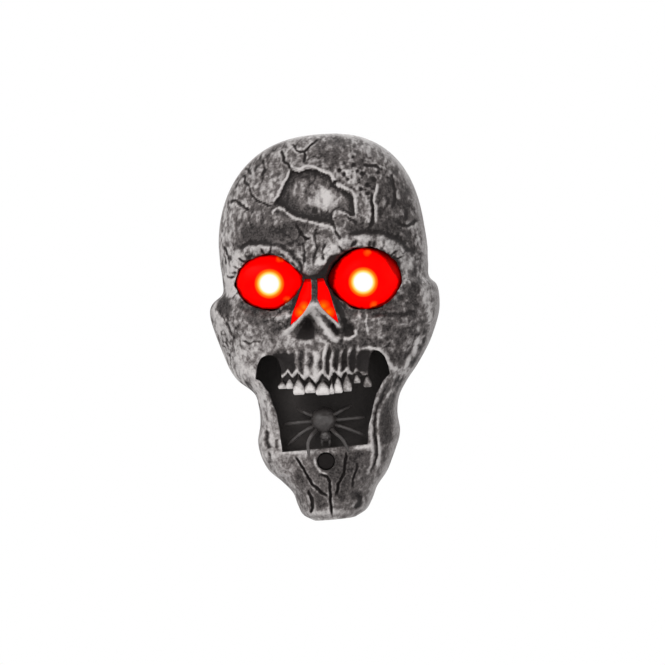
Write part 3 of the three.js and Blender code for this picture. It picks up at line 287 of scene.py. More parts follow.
def loop_sides(rows: int, columns: int) -> Faces:
    """Four-cornered faces between the rows of a grid that is stored row by row, each row a closed loop.

    Args:
        rows, columns: The grid's size.

    Returns:
        The faces.
    """
    row, column = np.mgrid[0 : rows - 1, 0:columns]
    after = (column + 1) % columns
    corners = [row * columns + column, row * columns + after]
    corners += [(row + 1) * columns + after, (row + 1) * columns + column]
    return np.stack(corners, axis=-1).reshape(-1, 4).tolist()


def fan(columns: int, start: int, tip: int) -> Array:
    """Triangles from each stretch of a loop, whose first point has the number start, to a tip."""
    column = np.arange(columns)
    return np.stack([start + column, start + (column + 1) % columns, np.full(columns, tip)], axis=-1)


def closed_loops(grid: Array, outward: bool = True, tip: Sizes | None = None) -> Solid:
    """Closed solid of a grid whose rows are loops: sides, a flat first end, and a flat or pointed last end.

    Args:
        grid: Points by row and column.
        outward: False where the loops run the other way, so that every face is turned round.
        tip: The last end's point, if it has one.

    Returns:
        Points and faces.
    """
    rows, columns = grid.shape[:2]
    last = (rows - 1) * columns
    points, faces = grid.reshape(-1, 3), loop_sides(rows, columns)
    first = list(range(columns))[::-1]
    if tip:
        points = np.vstack([points, tip])
        faces += [*fan(columns, last, rows * columns).tolist(), first]
    else:
        faces += [first, list(range(last, last + columns))]
    return points, faces if outward else [face[::-1] for face in faces]


def prism(outline: Array, near: float, far: float) -> Solid:
    """Closed outline, counterclockwise to the viewer, pushed out from one depth to another."""
    return closed_loops(np.stack([np.insert(outline, 2, depth, axis=1) for depth in (near, far)]))


def tube(path: Array, radii: Array, sides: int = 12) -> Solid:
    """Round section carried along a path, closed at both ends.

    Args:
        path: Points of the middle line.
        radii: Radius at each of them.
        sides: Points round the section.

    Returns:
        Points and faces.
    """
    outward = np.array([0.0, 0.0, 1.0])
    along = np.gradient(path, axis=0)
    along /= np.linalg.norm(along, axis=1, keepdims=True)
    across = np.cross(along, outward)
    across /= np.linalg.norm(across, axis=1, keepdims=True)
    over = np.cross(across, along)
    turn = around(sides)[None, :, None]
    ring = np.cos(turn) * across[:, None] + np.sin(turn) * over[:, None]
    return closed_loops(path[:, None] + radii[:, None, None] * ring)


def joined(*solids: Solid) -> Solid:
    """Several sets of points and faces as one.

    Args:
        *solids: The sets.

    Returns:
        All their points and faces.
    """
    points, faces, start = [], [], 0
    for part, corners in solids:
        points.append(part)
        faces += [[corner + start for corner in face] for face in corners]
        start += len(part)
    return np.vstack(points), faces


def link(item: Piece) -> None:
    """Put an object into the scene."""
    bpy.context.scene.collection.objects.link(item)


def take_away(first: Mesh, second: Mesh) -> Mesh:
    """Take one closed mesh away from another.

    Args:
        first: What is cut.
        second: What cuts.

    Returns:
        The new mesh. The other two are removed.
    """
    pair = [bpy.data.objects.new(f"work_{i}", mesh) for i, mesh in enumerate((first, second))]
    for item in pair:
        link(item)
    step = pair[0].modifiers.new("take_away", "BOOLEAN")
    step.solver = "MANIFOLD"
    step.operation = "DIFFERENCE"
    step.object = pair[1]
    graph = bpy.context.evaluated_depsgraph_get()
    made = bpy.data.meshes.new_from_object(pair[0].evaluated_get(graph))
    for item in pair:
        mesh = item.data
        bpy.data.objects.remove(item)
        bpy.data.meshes.remove(mesh)
    return made


def make_piece(mesh: Mesh, sharp: float = 50.0) -> Piece:
    """Put a mesh into the scene under its own name.

    Args:
        mesh: The mesh.
        sharp: Angle in degrees past which an edge isn't smoothed.

    Returns:
        The object.
    """
    mesh.polygons.foreach_set("use_smooth", np.ones(len(mesh.polygons), bool))
    mesh.set_sharp_from_angle(angle=math.radians(sharp))
    made = bpy.data.objects.new(mesh.name, mesh)
    link(made)
    return made


def places_of(mesh: Mesh) -> tuple[Array, Array, Array]:
    """Read where a mesh's points are.

    Args:
        mesh: The mesh.

    Returns:
        Face-frame x, z and depth of each point.
    """
    rows = np.empty(len(mesh.vertices) * 3, np.float32)
    mesh.vertices.foreach_get("co", rows)
    rows = rows.reshape(-1, 3).astype(float) / MM
    return rows[:, 0], rows[:, 2], -rows[:, 1]


def store(mesh: Mesh, name: str, values: Array) -> None:
    """Keep one number for each point of a mesh, for its finish to read."""
    made = mesh.attributes.new(name, "FLOAT", "POINT")
    made.data.foreach_set("value", values.astype(np.float32))


@dataclass
class Wire:
    """A node's output socket, if it has one, whose arithmetic in Python adds Math nodes."""

    shader: Shader
    socket: bpy.types.NodeSocket | None

    def __add__(self, other: Wire | float) -> Wire:
        """Sum."""
        return self.shader.math("ADD", self, other)

    def __radd__(self, other: float) -> Wire:
        """Sum, with a number first."""
        return self.shader.math("ADD", other, self)

    def __sub__(self, other: Wire | float) -> Wire:
        """Difference."""
        return self.shader.math("SUBTRACT", self, other)

    def __rsub__(self, other: float) -> Wire:
        """Difference, with a number first."""
        return self.shader.math("SUBTRACT", other, self)

    def __mul__(self, other: Wire | float) -> Wire:
        """Product."""
        return self.shader.math("MULTIPLY", self, other)

    def __rmul__(self, other: float) -> Wire:
        """Product, with a number first."""
        return self.shader.math("MULTIPLY", other, self)

    def between(self, low: float, high: float, ease: Ease = Ease.SMOOTH) -> Wire:
        """Share of the way from low to high, kept from 0 to 1."""
        span = {"Value": self, "From Min": low, "From Max": high}
        return self.shader.node("ShaderNodeMapRange", {"interpolation_type": ease.value}, span)


@dataclass
class Shader:
    """Nodes of a material or of the world."""

    owner: Material | bpy.types.World

    def __post_init__(self) -> None:
        """Start with an empty node tree."""
        self.owner.use_nodes = True
        self.owner.node_tree.nodes.clear()

    def node(
        self, kind: str, settings: dict | None = None, inputs: dict | None = None, output: int | str = 0
    ) -> Wire:
        """Add a node.

        Args:
            kind: The node's type.
            settings: Properties set first; "stops" are a ramp's places and colours.
            inputs: Values or links, by a socket's name or number.
            output: The output that is returned.

        Returns:
            The chosen output.
        """
        tree = self.owner.node_tree
        made = tree.nodes.new(kind)
        for key, value in (settings or {}).items():
            if key == "stops":
                self._set_stops(made.color_ramp, value)
            else:
                setattr(made, key, value)
        for key, value in (inputs or {}).items():
            if isinstance(value, Wire):
                tree.links.new(value.socket, made.inputs[key])
            else:
                made.inputs[key].default_value = value
        return Wire(self, made.outputs[output] if made.outputs else None)

    @staticmethod
    def _set_stops(ramp: bpy.types.ColorRamp, stops: Stops) -> None:
        """Give a ramp its stops.

        Args:
            ramp: The ramp.
            stops: Place and colour of each stop, in order.
        """
        while len(ramp.elements) < len(stops):
            ramp.elements.new(1.0)
        for element, (place, colour) in zip(ramp.elements, stops):
            element.position = place
            element.color = (*colour, 1.0)

    def math(self, operation: str, *values: Wire | float) -> Wire:
        """Math node of one or more values."""
        return self.node("ShaderNodeMath", {"operation": operation}, dict(enumerate(values)))

    def vector(self, operation: str, *values: Wire | Sizes, output: int | str = 0) -> Wire:
        """Vector Math node of one or more places."""
        return self.node("ShaderNodeVectorMath", {"operation": operation}, dict(enumerate(values)), output)

    def place(self) -> Wire:
        """Object coordinates."""
        return self.node("ShaderNodeTexCoord", output="Object")

    def noise(
        self, scale: float, detail: float = 3.0, roughness: float = 0.55, where: Wire | None = None
    ) -> Wire:
        """Noise about 0.5, with the given number of grains to a metre."""
        inputs = {"Vector": where or self.place(), "Scale": scale, "Detail": detail, "Roughness": roughness}
        return self.node("ShaderNodeTexNoise", inputs=inputs)

    def stored(self, name: str) -> Wire:
        """A number kept on the mesh's points."""
        return self.node("ShaderNodeAttribute", {"attribute_name": name}, output="Fac")

    def ray(self, kind: str) -> Wire:
        """1 where the light path is a ray of a kind, and 0 elsewhere."""
        return self.node("ShaderNodeLightPath", output=f"Is {kind} Ray")

    def blend(self, share: Wire | float, first: Wire | Colour, second: Wire | Colour) -> Wire:
        """Colour between two others."""
        pair = [c if isinstance(c, Wire) else (*c, 1.0) for c in (first, second)]
        return self.node("ShaderNodeMix", {"data_type": "RGBA"}, {0: share, 6: pair[0], 7: pair[1]}, 2)

    def bump(self, height: Wire, strength: float, distance: float) -> Wire:
        """Normal of a fine relief, its distance in metres."""
        inputs = {"Strength": strength, "Distance": distance, "Height": height}
        return self.node("ShaderNodeBump", inputs=inputs, output="Normal")

    def surface(self, **sockets: Wire | float | Colour) -> Material:
        """End the material with a principled surface.

        Args:
            **sockets: Its inputs, with underscores for spaces.

        Returns:
            The finished material.
        """
        inputs = {}
        for key, value in sockets.items():
            is_colour = isinstance(value, tuple)
            inputs[key.replace("_", " ")] = (*value, 1.0) if is_colour else value
        made = self.node("ShaderNodeBsdfPrincipled", inputs=inputs)
        self.node("ShaderNodeOutputMaterial", inputs={"Surface": made})
        return self.owner


@dataclass(frozen=True)
class Finish:
    """A finish that pieces are dressed in."""

    name: str

    def material(self) -> Material:
        """Make the finish's material."""
        raise NotImplementedError

    def shader(self) -> Shader:
        """Start a material of the finish's name."""
        return Shader(bpy.data.materials.new(self.name))

    def dress(self, *pieces: Piece) -> None:
        """Give one material of this finish to pieces.

        Args:
            *pieces: What is dressed.
        """
        made = self.material()
        for item in pieces:
            item.data.materials.clear()
            item.data.materials.append(made)


@dataclass(frozen=True)
class DryBrushed(Finish):
    """Charcoal plastic with silver-grey paint dragged over what stands out.

    Speckle and drag are each a noise's grains to a metre and its share; a coat comes up between two tones.
    """

    ground: Colour = (0.0112, 0.0084, 0.0079)
    middle: Colour = (0.131, 0.1145, 0.1095)
    paint: Colour = (0.535, 0.502, 0.488)
    speckle: Point = (1100.0, 0.9)
    drag: Point = (420.0, 0.45)
    first_coat: Point = (0.0, 0.5)
    second_coat: Point = (0.46, 1.05)
    relief: float = 0.0005

    def material(self) -> Material:
        """Mix ground and paint by the tone kept on the points, broken up by fine noise.

        Returns:
            The material.
        """
        shader = self.shader()
        speckle = shader.noise(self.speckle[0], 4.0, 0.62)
        drag = shader.noise(self.drag[0], 3.0, 0.6)
        broken = shader.stored("tone") + (speckle - 0.5) * self.speckle[1] + (drag - 0.5) * self.drag[1]
        low = shader.blend(broken.between(*self.first_coat, Ease.STRAIGHT), self.ground, self.middle)
        return shader.surface(
            Base_Color=shader.blend(broken.between(*self.second_coat, Ease.STRAIGHT), low, self.paint),
            Roughness=0.74 - 0.2 * broken.between(0.3, 1.0),
            Specular_IOR_Level=0.26,
            Normal=shader.bump(speckle * 0.6 + drag, 0.55, self.relief),
        )


@dataclass(frozen=True)
class LitLens(Finish):
    """Red translucent plastic with lamps burning close behind it.

    Hot are the lamps' places, the stops' colours run over the reach, glints are small warm gleams painted
    on the lens, and the edge is the colour of painted shade at its rim.
    """

    hot: Points
    reach: float
    stops: Stops
    glints: Points = ()
    glint: Colour = (1.0, 0.13, 0.004)
    glint_size: Point = (2.2, 0.2)
    glint_wander: float = 3.0
    # Colour of the painted shade at the lens's rim.
    edge: Colour = (0.035, 0.0, 0.0)
    plastic: tuple[Colour, Colour] = ((0.3, 0.0, 0.0), (0.38, 0.001, 0.0))

    def gap(self, shader: Shader, place: Point) -> Wire:
        """Distance in metres of the lens's points from an axis through a place on the face."""
        flat = shader.vector("MULTIPLY", shader.place(), (1, 0, 1))
        return shader.vector("DISTANCE", flat, (place[0] * MM, 0.0, place[1] * MM), output="Value")

    def material(self) -> Material:
        """Glow by the distance from the nearest lamp's axis, with uneven painted shade toward the lens's edge.

        Returns:
            The material.
        """
        shader = self.shader()
        least = self.gap(shader, self.hot[0])
        for place in self.hot[1:]:
            least = shader.math("MINIMUM", least, self.gap(shader, place))
        share = least.between(0.0, self.reach * MM, Ease.STRAIGHT)
        glow = shader.node("ShaderNodeValToRGB", {"stops": self.stops}, {0: share})
        cloud = shader.noise(260.0, 3.0)
        far, near = (size * MM for size in self.glint_size)
        for place in self.glints:
            away = self.gap(shader, place) + (cloud - 0.5) * (self.glint_wander * MM)
            glow = shader.blend(0.7 * away.between(far, near), glow, self.glint)
        # Painted shade: the edge colour takes over near the lens's rim and where the stored reach carries the
        # socket's shadows.
        rim = (shader.stored("reach") + (cloud - 0.5) * 0.2).between(0.9, 1.02)
        return shader.surface(
            Base_Color=shader.blend(cloud.between(0.3, 0.7), *self.plastic),
            Roughness=0.32 + 0.1 * cloud,
            Specular_IOR_Level=0.02,
            Emission_Color=shader.blend(rim, glow, self.edge),
            Emission_Strength=1.0,
            Normal=shader.bump(shader.noise(700.0), 0.1, 0.0003),
        )


@dataclass(frozen=True)
class Moulded(Finish):
    """Moulded plastic or vinyl with a fine spark grain and slightly uneven colour."""

    colour: Colour
    worn: Colour
    roughness: float = 0.5
    grain: float = 1500.0
    relief: float = 0.0002
    gloss: float = 0.3

    def material(self) -> Material:
        """Let the colour drift toward the worn one in soft clouds, and give the grain roughness and bump.

        Returns:
            The material.
        """
        shader = self.shader()
        cloud = shader.noise(70.0, 4.0)
        grain = shader.noise(self.grain, 2.0)
        share = (cloud * 0.7 + grain * 0.3).between(0.42, 0.75)
        return shader.surface(
            Base_Color=shader.blend(share, self.colour, self.worn),
            Roughness=self.roughness + 0.22 * (grain - 0.5) + 0.12 * (cloud - 0.5),
            Specular_IOR_Level=self.gloss,
            Normal=shader.bump(grain, 0.35, self.relief),
        )


@dataclass(frozen=True)
class Plated(Finish):
    """Plated steel with fine drawn lines and a little tarnish."""

    colour: Colour = (0.56, 0.57, 0.58)
    tarnish: Colour = (0.31, 0.29, 0.27)
    stretch: Sizes = (1.0, 0.12, 1.0)

    def material(self) -> Material:
        """Draw noise out along one way for the lines, and make the tarnish of clouds.

        Returns:
            The material.
        """
        shader = self.shader()
        drawn = shader.node("ShaderNodeMapping", inputs={"Vector": shader.place(), "Scale": self.stretch})
        lines = shader.noise(2600.0, 2.0, where=drawn)
        cloud = shader.noise(180.0, 4.0)
        return shader.surface(
            Base_Color=shader.blend(cloud.between(0.5, 0.8), self.colour, self.tarnish),
            Metallic=1.0 - 0.25 * cloud.between(0.6, 0.85),
            Roughness=0.24 + 0.22 * lines + 0.15 * cloud,
            Normal=shader.bump(lines, 0.2, 0.0001),
        )


def each(kind: type, *rows: Sequence) -> tuple:
    """One of a kind for each row of its fields."""
    return tuple(kind(*row) for row in rows)


@dataclass(frozen=True)
class Groove:
    """A crack, or with a depth below zero a ridge, along a few corners."""

    path: Points
    width: float = 0.75
    depth: float = 0.8
    lip: float = 0.3
    stain: float = 0.5


@dataclass(frozen=True)
class Patch:
    """A soft patch of height or tone, whose amount falls off over its reach across and up."""

    x: float
    z: float
    across: float
    up: float
    amount: float

    def share(self, x: Array, z: Array) -> Array:
        """Bell of height 1 at the patch's place."""
        return np.exp(-(((x - self.x) / self.across) ** 2) - ((z - self.z) / self.up) ** 2)

    def over(self, x: Array, z: Array) -> Array:
        """The patch's amount at each place."""
        return self.amount * self.share(x, z)


@dataclass(frozen=True)
class Grain:
    """Layered noise of one height and size."""

    height: float
    size: float
    seed: int
    layers: int = 3

    def over(self, x: Array, z: Array) -> Array:
        """The grain's height at each place."""
        return self.height * layered_noise(x, z, self.size, self.seed, self.layers)


def added(parts: Sequence[Patch | Grain], x: Array, z: Array) -> Array:
    """Sum of patches or grains at each place."""
    return sum(part.over(x, z) for part in parts)


@dataclass(frozen=True)
class Eye:
    """An eye's opening: its side, middle and half sizes, the bone round it, and how its lens is lit.

    The brow breaks into blocks, so many to a radian. Shadows are the angle, from level outward, and the depth
    of each on the lens. Reaches are shares of the half sizes.
    """

    side: Side
    x: float
    z: float
    half_width: float
    half_height: float
    blocks: float
    lamp: Point
    glints: Points
    shadows: Points
    corner_taper: float = 0.34
    sink: float = 3.4
    rim_height: float = 3.6
    rim_reach: float = 1.24
    brow_reach: float = 1.14

    def ring(self, grow: float, count: int, ragged: float = 0.0) -> Array:
        """Outline: an ellipse whose height narrows toward the nose.

        Args:
            grow: Distance outside the opening.
            count: Points on the outline.
            ragged: Height of the notches in its edge.

        Returns:
            The points, counterclockwise to the viewer.
        """
        angle = around(count)
        noseward = np.maximum(0, -self.side.value * np.cos(angle))
        taper = 1 - self.corner_taper * noseward**2
        rough = ragged * layered_noise(np.cos(angle) * 9, np.sin(angle) * 9, 2.4, 5 + self.side.value)
        across = (self.half_width + grow + rough) * np.cos(angle)
        up = (self.half_height * taper + grow + rough) * np.sin(angle)
        return np.column_stack([self.x + across, self.z + up])

    def polar(self, x: Array, z: Array) -> tuple[Array, Array, Array]:
        """Reach from the eye's middle, with its parts outward and up, in shares of the half sizes."""
        outward, up = self.side.value * (x - self.x) / self.half_width, (z - self.z) / self.half_height
        return np.hypot(outward, up), outward, up

    def socket(self, x: Array, z: Array) -> Array:
        """Height of the bone round the opening: sunk toward it, with a rim above it and outward.

        Args:
            x, z: Places.

        Returns:
            The height over the plain form.
        """
        reach, outward, up = self.polar(x, z)
        outside = smoothstep(outward, 0, 1)
        rim = np.maximum(smoothstep(up, -0.3, 0.6), outside * smoothstep(up, -0.9, -0.2))
        sunk = self.sink * (1 - 0.5 * outside) * (1 - 0.8 * rim) * smoothstep(reach, 1.4, 1)
        spread = np.where(reach < self.rim_reach, 0.36, 0.22)
        return self.rim_height * rim * bell(reach - self.rim_reach, spread) - sunk

    def brow(self, x: Array, z: Array) -> Marks:
        """Raised band of bone round the socket, notched where a noise crosses zero.

        Args:
            x, z: Places.

        Returns:
            Height and stain.
        """
        reach, outward, up = self.polar(x, z)
        angle = np.arctan2(up, outward)
        kept = smoothstep(angle, -0.1, 0.5) * smoothstep(angle, 3.0, 2.5)
        band = kept * bell(reach - self.brow_reach, 0.14, 4)
        split = lattice_noise(angle * self.blocks, 2.4 * reach, 1.0, 83 + self.side.value)
        notch = bell(split, 0.17) * (1 - 0.6 * smoothstep(reach, self.brow_reach, 1.3))
        crumb = lattice_noise(x, z, 2.2, 83)
        height = band * (0.3 - 0.8 * notch) + 0.5 * crumb * bell(reach - 1.12, 0.12)
        return height, band * (0.7 * notch - 0.12 + 0.2 * crumb)

    def shadow(self, x: Array, z: Array) -> Array:
        """Painted shade round the opening: a crumbled edge, a soft band above the brow, and on the right a
        ragged fringe.

        Args:
            x, z: Places.

        Returns:
            How much darker the paint's tone is.
        """
        reach, outward, up = self.polar(x, z)
        edge = (reach - 1.0) * self.half_height
        dark = (0.1 + 0.5 * lattice_noise(x, z, 1.6, 63)) * bell(edge, 0.6)
        dark += 0.22 * bell(reach - 1.2, 0.16) * smoothstep(up, -0.2, 0.4)
        if self.side is Side.RIGHT:
            angle = np.arctan2(up, outward)
            fringe = smoothstep(angle, 1.9, 2.5) + bell(angle - 0.5, 0.45)
            ragged = np.clip(0.75 + 1.6 * lattice_noise(x, z, 1.9, 65), 0, 1.6)
            dark += 0.9 * fringe * ragged * bell(edge, 1.3)
        return dark

    def lens_shadow(self, turn: Array) -> Array:
        """Depth of the shadows on the lens at angles round it, each shadow a bell about its own angle."""
        angle, depth = np.transpose(self.shadows)
        return np.exp(6 * np.cos(turn[:, None] - np.radians(90 - self.side.value * (90 - angle))) - 6) @ depth


EYES = (
    Eye(
        Side.LEFT, x=-20.2, z=20.3, half_width=15.0, half_height=12.1, blocks=4.4,
        lamp=(-20.0, 19.5), glints=((-12.9, 12.0), (-15.2, 30.2)), shadows=((-20.0, 0.05),),
    ),
    Eye(
        Side.RIGHT, x=21.4, z=20.2, half_width=16.2, half_height=13.6, blocks=4.6,
        lamp=(21.2, 18.6), glints=((23.4, 31.6), (25.2, 8.4)), shadows=((28.0, 0.2), (172.0, 0.2)),
    ),
)


@dataclass
class SkullForm:
    """Shape of the skull's face: plain form, main relief, and the sculpted detail on it."""

    crown_top: float = 85.0
    chin_bottom: float = -85.0
    middle: float = 31.0
    half_width_top: float = 46.0
    half_width_jaw: float = 31.4
    half_width_chin: float = 9.0
    depth_top: float = 43.0
    depth_jaw: float = 28.0
    lean: float = 0.047
    roundness: float = 2.1
    relief_fade: Point = (3.0, 14.0)
    detail_fade: Point = (5.0, 17.0)
    lip_z: float = -53.4
    lip_slope: float = 0.055
    lip_height: float = 0.9
    bridge_x: float = 1.6
    bridge_top: float = 30.0
    bridge_length: float = 21.0
    bridge_height: float = 6.5
    bridge_end: float = 9.0
    jaw_x: float = 3.0
    jaw_reach: float = 19.4
    jaw_height: float = 3.6
    bulges: tuple[Patch, ...] = each(
        Patch,
        # nostrils and the nose's base
        (-3.6, 1, 3.6, 4, -4.5), (13.6, -1.2, 2.8, 3.2, -3.15),
        (2.6, -5, 9, 2.6, 1.5),
        # cheekbones, and the hollows under them
        (-36, 2, 10, 6, 3.2), (38, 3, 10, 6, 3.2),
        (-30, -14, 7, 6, -2.4), (34, -13, 7, 6, -2.4),
        # temples
        (-41, 41, 8, 13, -2.2), (42, 43, 8, 13, -2.2),
        # ears and their pits
        (-46.5, 10.5, 4, 7, 2.4), (46.5, 14.5, 4, 7, 2.4),
        (-41.6, 10.2, 3.8, 4, -3.1), (42.6, 13.4, 2.4, 4.4, -2.6),
        # sides of the upper jaw
        (-15.4, -15.2, 4.6, 5, -3.6), (19.4, -15.2, 4.6, 5, -3.6),
        # the lower jaw's sides, the hollow in its right one, and the chin
        (-27, -38, 4, 13, 1.8), (29, -36, 4, 13, 1.8),
        (27.4, -43, 1.7, 7.6, -2.2), (1, -73, 12, 7, 1.4),
    )
    plate_depth: float = 1.5
    plate: Points = (
        (-8.8, 68.8), (-5.6, 67.7), (-2, 69), (1, 68.6), (4, 67.2), (8.2, 65.4), (9.6, 62), (11.6, 60),
        (15, 58.5), (17.8, 57), (18.8, 55), (18.9, 47.4), (16.4, 47.6), (13.6, 49.4), (10.6, 49.8),
        (9.4, 48.2), (9, 44.9), (5, 45.5), (0, 46.8), (-4, 47.6), (-7.6, 48.9), (-10.2, 50.9),
        (-12.8, 53), (-16.4, 54), (-12.6, 60.2),
    )
    cracks: tuple[Groove, ...] = each(
        Groove,
        # crown and forehead
        (((-14.6, 78.4), (-13, 75), (-12.6, 73), (-10, 71.2), (-8.6, 69)), 0.5, 1.1),
        (((-9.4, 80.4), (-7.5, 77.8), (-5.5, 76.8), (-4, 77), (-1, 79.5), (1.8, 82.4)), 0.45, 0.9),
        (((-4, 77), (-3, 75), (-3.2, 71.4)), 0.45, 0.9),
        (((-32.4, 67.6), (-30.6, 67), (-30.6, 64.4), (-27.7, 62.7)), 0.5, 0.8, 0.3, 0.45),
        (((-27.7, 62.7), (-27.3, 59.4), (-24.3, 56.4), (-21, 54.4), (-16.8, 53.4)), 0.42, 0.7, 0.3, 0.36),
        (((-38, 56.2), (-35, 56.6), (-32, 55), (-30, 53.3), (-27.4, 52)), 0.5, 0.9),
        (((-23, 74.4), (-21.6, 70), (-22.6, 66)), 0.45, 0.5),
        (((-33, 72), (-29.4, 70.4), (-27, 67.4)), 0.5, 0.6),
        (((-7.2, 45.2), (-5, 42), (-4, 40), (-2.4, 38.3), (-0.2, 38.2)), 0.5, 0.9),
        (((19.9, 44.2), (17, 46.2), (14.2, 48.2)), 0.45, 0.7),
        (((9.4, 46), (9.8, 43), (10.6, 40.6), (13, 37.4)), 0.5, 0.8),
        (((3.2, 44), (1.2, 39.4), (2.6, 34.6), (1, 30), (1.6, 25.6)), 0.5, 0.6, 0.3, 0.26),
        (((-3.8, 37), (-2.8, 32), (-3.6, 27)), 0.5, 0.6, 0.3, 0.26),
        (((6, 36.6), (5, 32), (5.6, 28)), 0.5, 0.6, 0.3, 0.3),
        (((26.7, 58), (26, 53), (26.7, 48), (26.4, 44), (24.2, 41.2)), 0.6, 1, 0.1, 0.6),
        (((30.2, 67.4), (27.6, 69), (22, 70)), 0.45, 0.7),
        (((44, 45), (41, 43), (38.6, 42.4), (35.6, 44.4)), 0.5, 0.8),
        (((33.6, 66), (35.6, 58), (34.6, 50)), 0.5, 0.6),
        # over the brows and on the left temple
        (((-34, 34.6), (-28.6, 37.6), (-20.6, 37.6), (-13.2, 35.6), (-8, 32), (-5.4, 27.4),
                (-4.6, 23)), 1, 1.2, 0.1, 0.22),
        (((16, 39.4), (22, 40.4), (30, 40), (36.6, 37.2), (41.2, 30.6)), 1, 1.1, 0.1, 0.2),
        (((-42, 37), (-38.6, 33), (-38, 27.6)), 0.5, 0.6),
        (((-40.6, 23.4), (-38, 22.8), (-35, 23.4)), 0.5, 0.8),
        # cheeks
        (((24, 3.6), (30, 4.6), (36, 3.8), (43, 4.6)), 0.8, 0.8, 0.15, 0.16),
        (((22.4, 8), (22, 2), (22.6, -5)), 0.5, -0.6, 0, -0.3),
        (((19.4, 7), (19, 3.2)), 0.5, -0.6, 0, -0.3),
        (((-40.6, 4.6), (-38.8, 1), (-38.2, -2), (-36.4, -4.6)), 0.5, 0.5, 0.1, 0.12),
        (((-37.6, 3.6), (-35.4, 0.6), (-34.6, -2.6)), 0.4, 0.4, 0.1, 0.12),
        (((-33.6, -5), (-30, -6.4), (-27.6, -5.6), (-24, -6.2)), 0.4, 0.6, 0.1, 0.35),
        (((-41, -11.6), (-38.6, -8.6), (-37.6, -5.6)), 0.45, 0.5, 0.1, 0.25),
        # chin
        (((-12.6, -56.6), (-10, -60), (-8, -64), (-5.5, -68), (-2, -72),
                (1.8, -75.2)), 0.42, 1.3, 0.2, 0.85),
        (((9.6, -55), (9.6, -60), (9, -64), (7.4, -67), (6, -70), (4.8, -74.6)), 0.42, 1.2, 0.2, 0.8),
        (((-1.8, -64.4), (1, -65.4), (2.5, -68), (2.7, -72), (2.2, -76),
                (2.6, -83.4)), 0.42, 1.2, 0.2, 0.85),
        (((-7.6, -71.6), (-6.2, -75), (-6, -79), (-7.2, -81.6)), 0.55, 1.2, 0.2, 0.8),
        (((14.8, -60), (13.6, -64), (12.4, -67), (12, -71)), 0.42, 0.8, 0.2, 0.6),
        (((13.4, -74), (14.5, -75.6), (14, -78), (12.2, -80.8)), 0.65, 0.9),
        # lower jaw
        (((30, -25.6), (27.2, -30), (25.2, -35), (23.1, -40.4), (22.4, -46), (22.9, -54), (22.3, -60),
                (19.4, -66)), 0.34, 0.7, 0, 0.22),
        (((-20.6, -48.4), (-20.2, -52.6)), 0.7, 0.8, 0.1, 0.2),
        # beside the nose
        (((3.4, 22), (5.4, 18.9), (7.6, 14.9), (9.6, 11), (11.4, 6), (12.9, 0.6)), 0.9, 0.7, 0, 0.95),
        (((-3.6, 22.6), (-4.6, 21), (-7.4, 15), (-11, 5)), 0.5, 0.4, 0, 0.7),
        (((0.6, 20.4), (3.9, 23.6), (7.9, 27), (14.3, 31.4)), 0.6, 0.7, 0, 0.8),
        (((-8.2, 25.4), (-4.6, 22), (-2.2, 20.9), (1.6, 21.4)), 0.7, 0.6, 0, 0.95),
        # left side of the jaw, and the right cheek's end
        (((-25.4, -34), (-24.6, -41)), 0.7, 0.6, 0.1, 0.2),
        (((-24.2, -44.2), (-25.4, -48.8), (-24.4, -53)), 1.1, 1.2, 0.1, 0.34),
        (((-24.4, -54.6), (-24.6, -59)), 0.8, 0.6, 0.1, 0.18),
        (((45.2, -6), (42.6, -13.4), (38.4, -20.4)), 1, 0.8, 0.2, 0.3),
    )
    ridges: tuple[Groove, ...] = each(
        Groove,
        # edges of the broken plate
        (((-17.2, 48.4), (-16.8, 51.2), (-14.6, 52.6), (-11.8, 51.4), (-9.6, 49.2), (-7.2, 47.4),
                (-3, 46.2), (0, 45.4), (4, 44.2), (7, 43.5), (9, 42.6),
                (10.2, 40.9)), 0.55, -0.9, 0, -0.56),
        (((-9.2, 69.2), (-13.5, 60.6), (-16.8, 54.6)), 0.38, -0.7, 0, -0.56),
        (((-9, 70.4), (-5, 69.2), (-2, 70.5), (1, 70), (4, 68.4), (8.4, 66.7), (10.2, 64), (11.8, 61.5),
                (15, 59.9), (18, 58.4), (19.6, 56), (19.7, 50), (19.5, 46)), 0.46, -0.7, 0, -0.46),
        (((9.6, 46.2), (9.8, 49.2), (11.6, 50.2), (14.2, 49.2), (17.4, 47)), 0.5, -0.6, 0, -0.5),
        # right brow
        (((28.4, 61.4), (28.3, 57.5), (27.2, 56), (27, 53.5), (27.8, 52), (27.6, 48),
                (27.9, 43.6)), 0.6, -1, 0, -0.55),
        # lower jaw and right cheek
        (((30.4, -22.4), (27.4, -27), (24.4, -32.6), (21.9, -37.8), (21, -43), (21.2, -50), (21.4, -56),
                (20.4, -62), (17, -67.6)), 0.7, -0.5, 0, -0.24),
        (((31.6, -27.4), (28.8, -31.4), (26.8, -35), (25.2, -38.8), (24.3, -42.6), (23.9, -50), (24, -57),
                (22, -63.4)), 0.6, -0.7, 0, -0.38),
        (((43.4, -5.4), (40.6, -12.4), (36.8, -19.6)), 0.6, -0.5, 0, -0.22),
        # chin
        (((-3.9, -56.6), (-3.6, -60.6), (-1.4, -63.6), (1.6, -64.6)), 0.5, -0.5, 0, -0.35),
        # under the right cheekbone
        (((17.6, -11), (22.6, -10), (27, -10.9), (30.2, -15.2), (31.8, -19.2),
                (34.8, -20.4)), 0.7, -0.8, 0, -0.42),
        # nose
        (((1.2, 10.6), (-2.6, 7), (-6, 3.8), (-9.5, 0.5), (-13.6, -2.8)), 1, -2.2, 0, -0.36),
        (((0.8, 10.6), (3.5, 7.4), (6.5, 4), (9.5, 0.8), (11.8, -1.8)), 0.9, -2.1, 0, -0.32),
        (((1.2, 4.4), (3.2, 1), (5.4, -2.4), (7.8, -5.4), (10.4, -7)), 1.4, -2, 0, -0.45),
        (((17, -1.6), (17.6, -4.2), (14.6, -5.9), (11.6, -5.6)), 0.8, -1.2, 0, -0.5),
        (((7, 1.2), (8.2, -1.4), (9.8, -4)), 0.8, 1.8, 0, 0.9),
    )
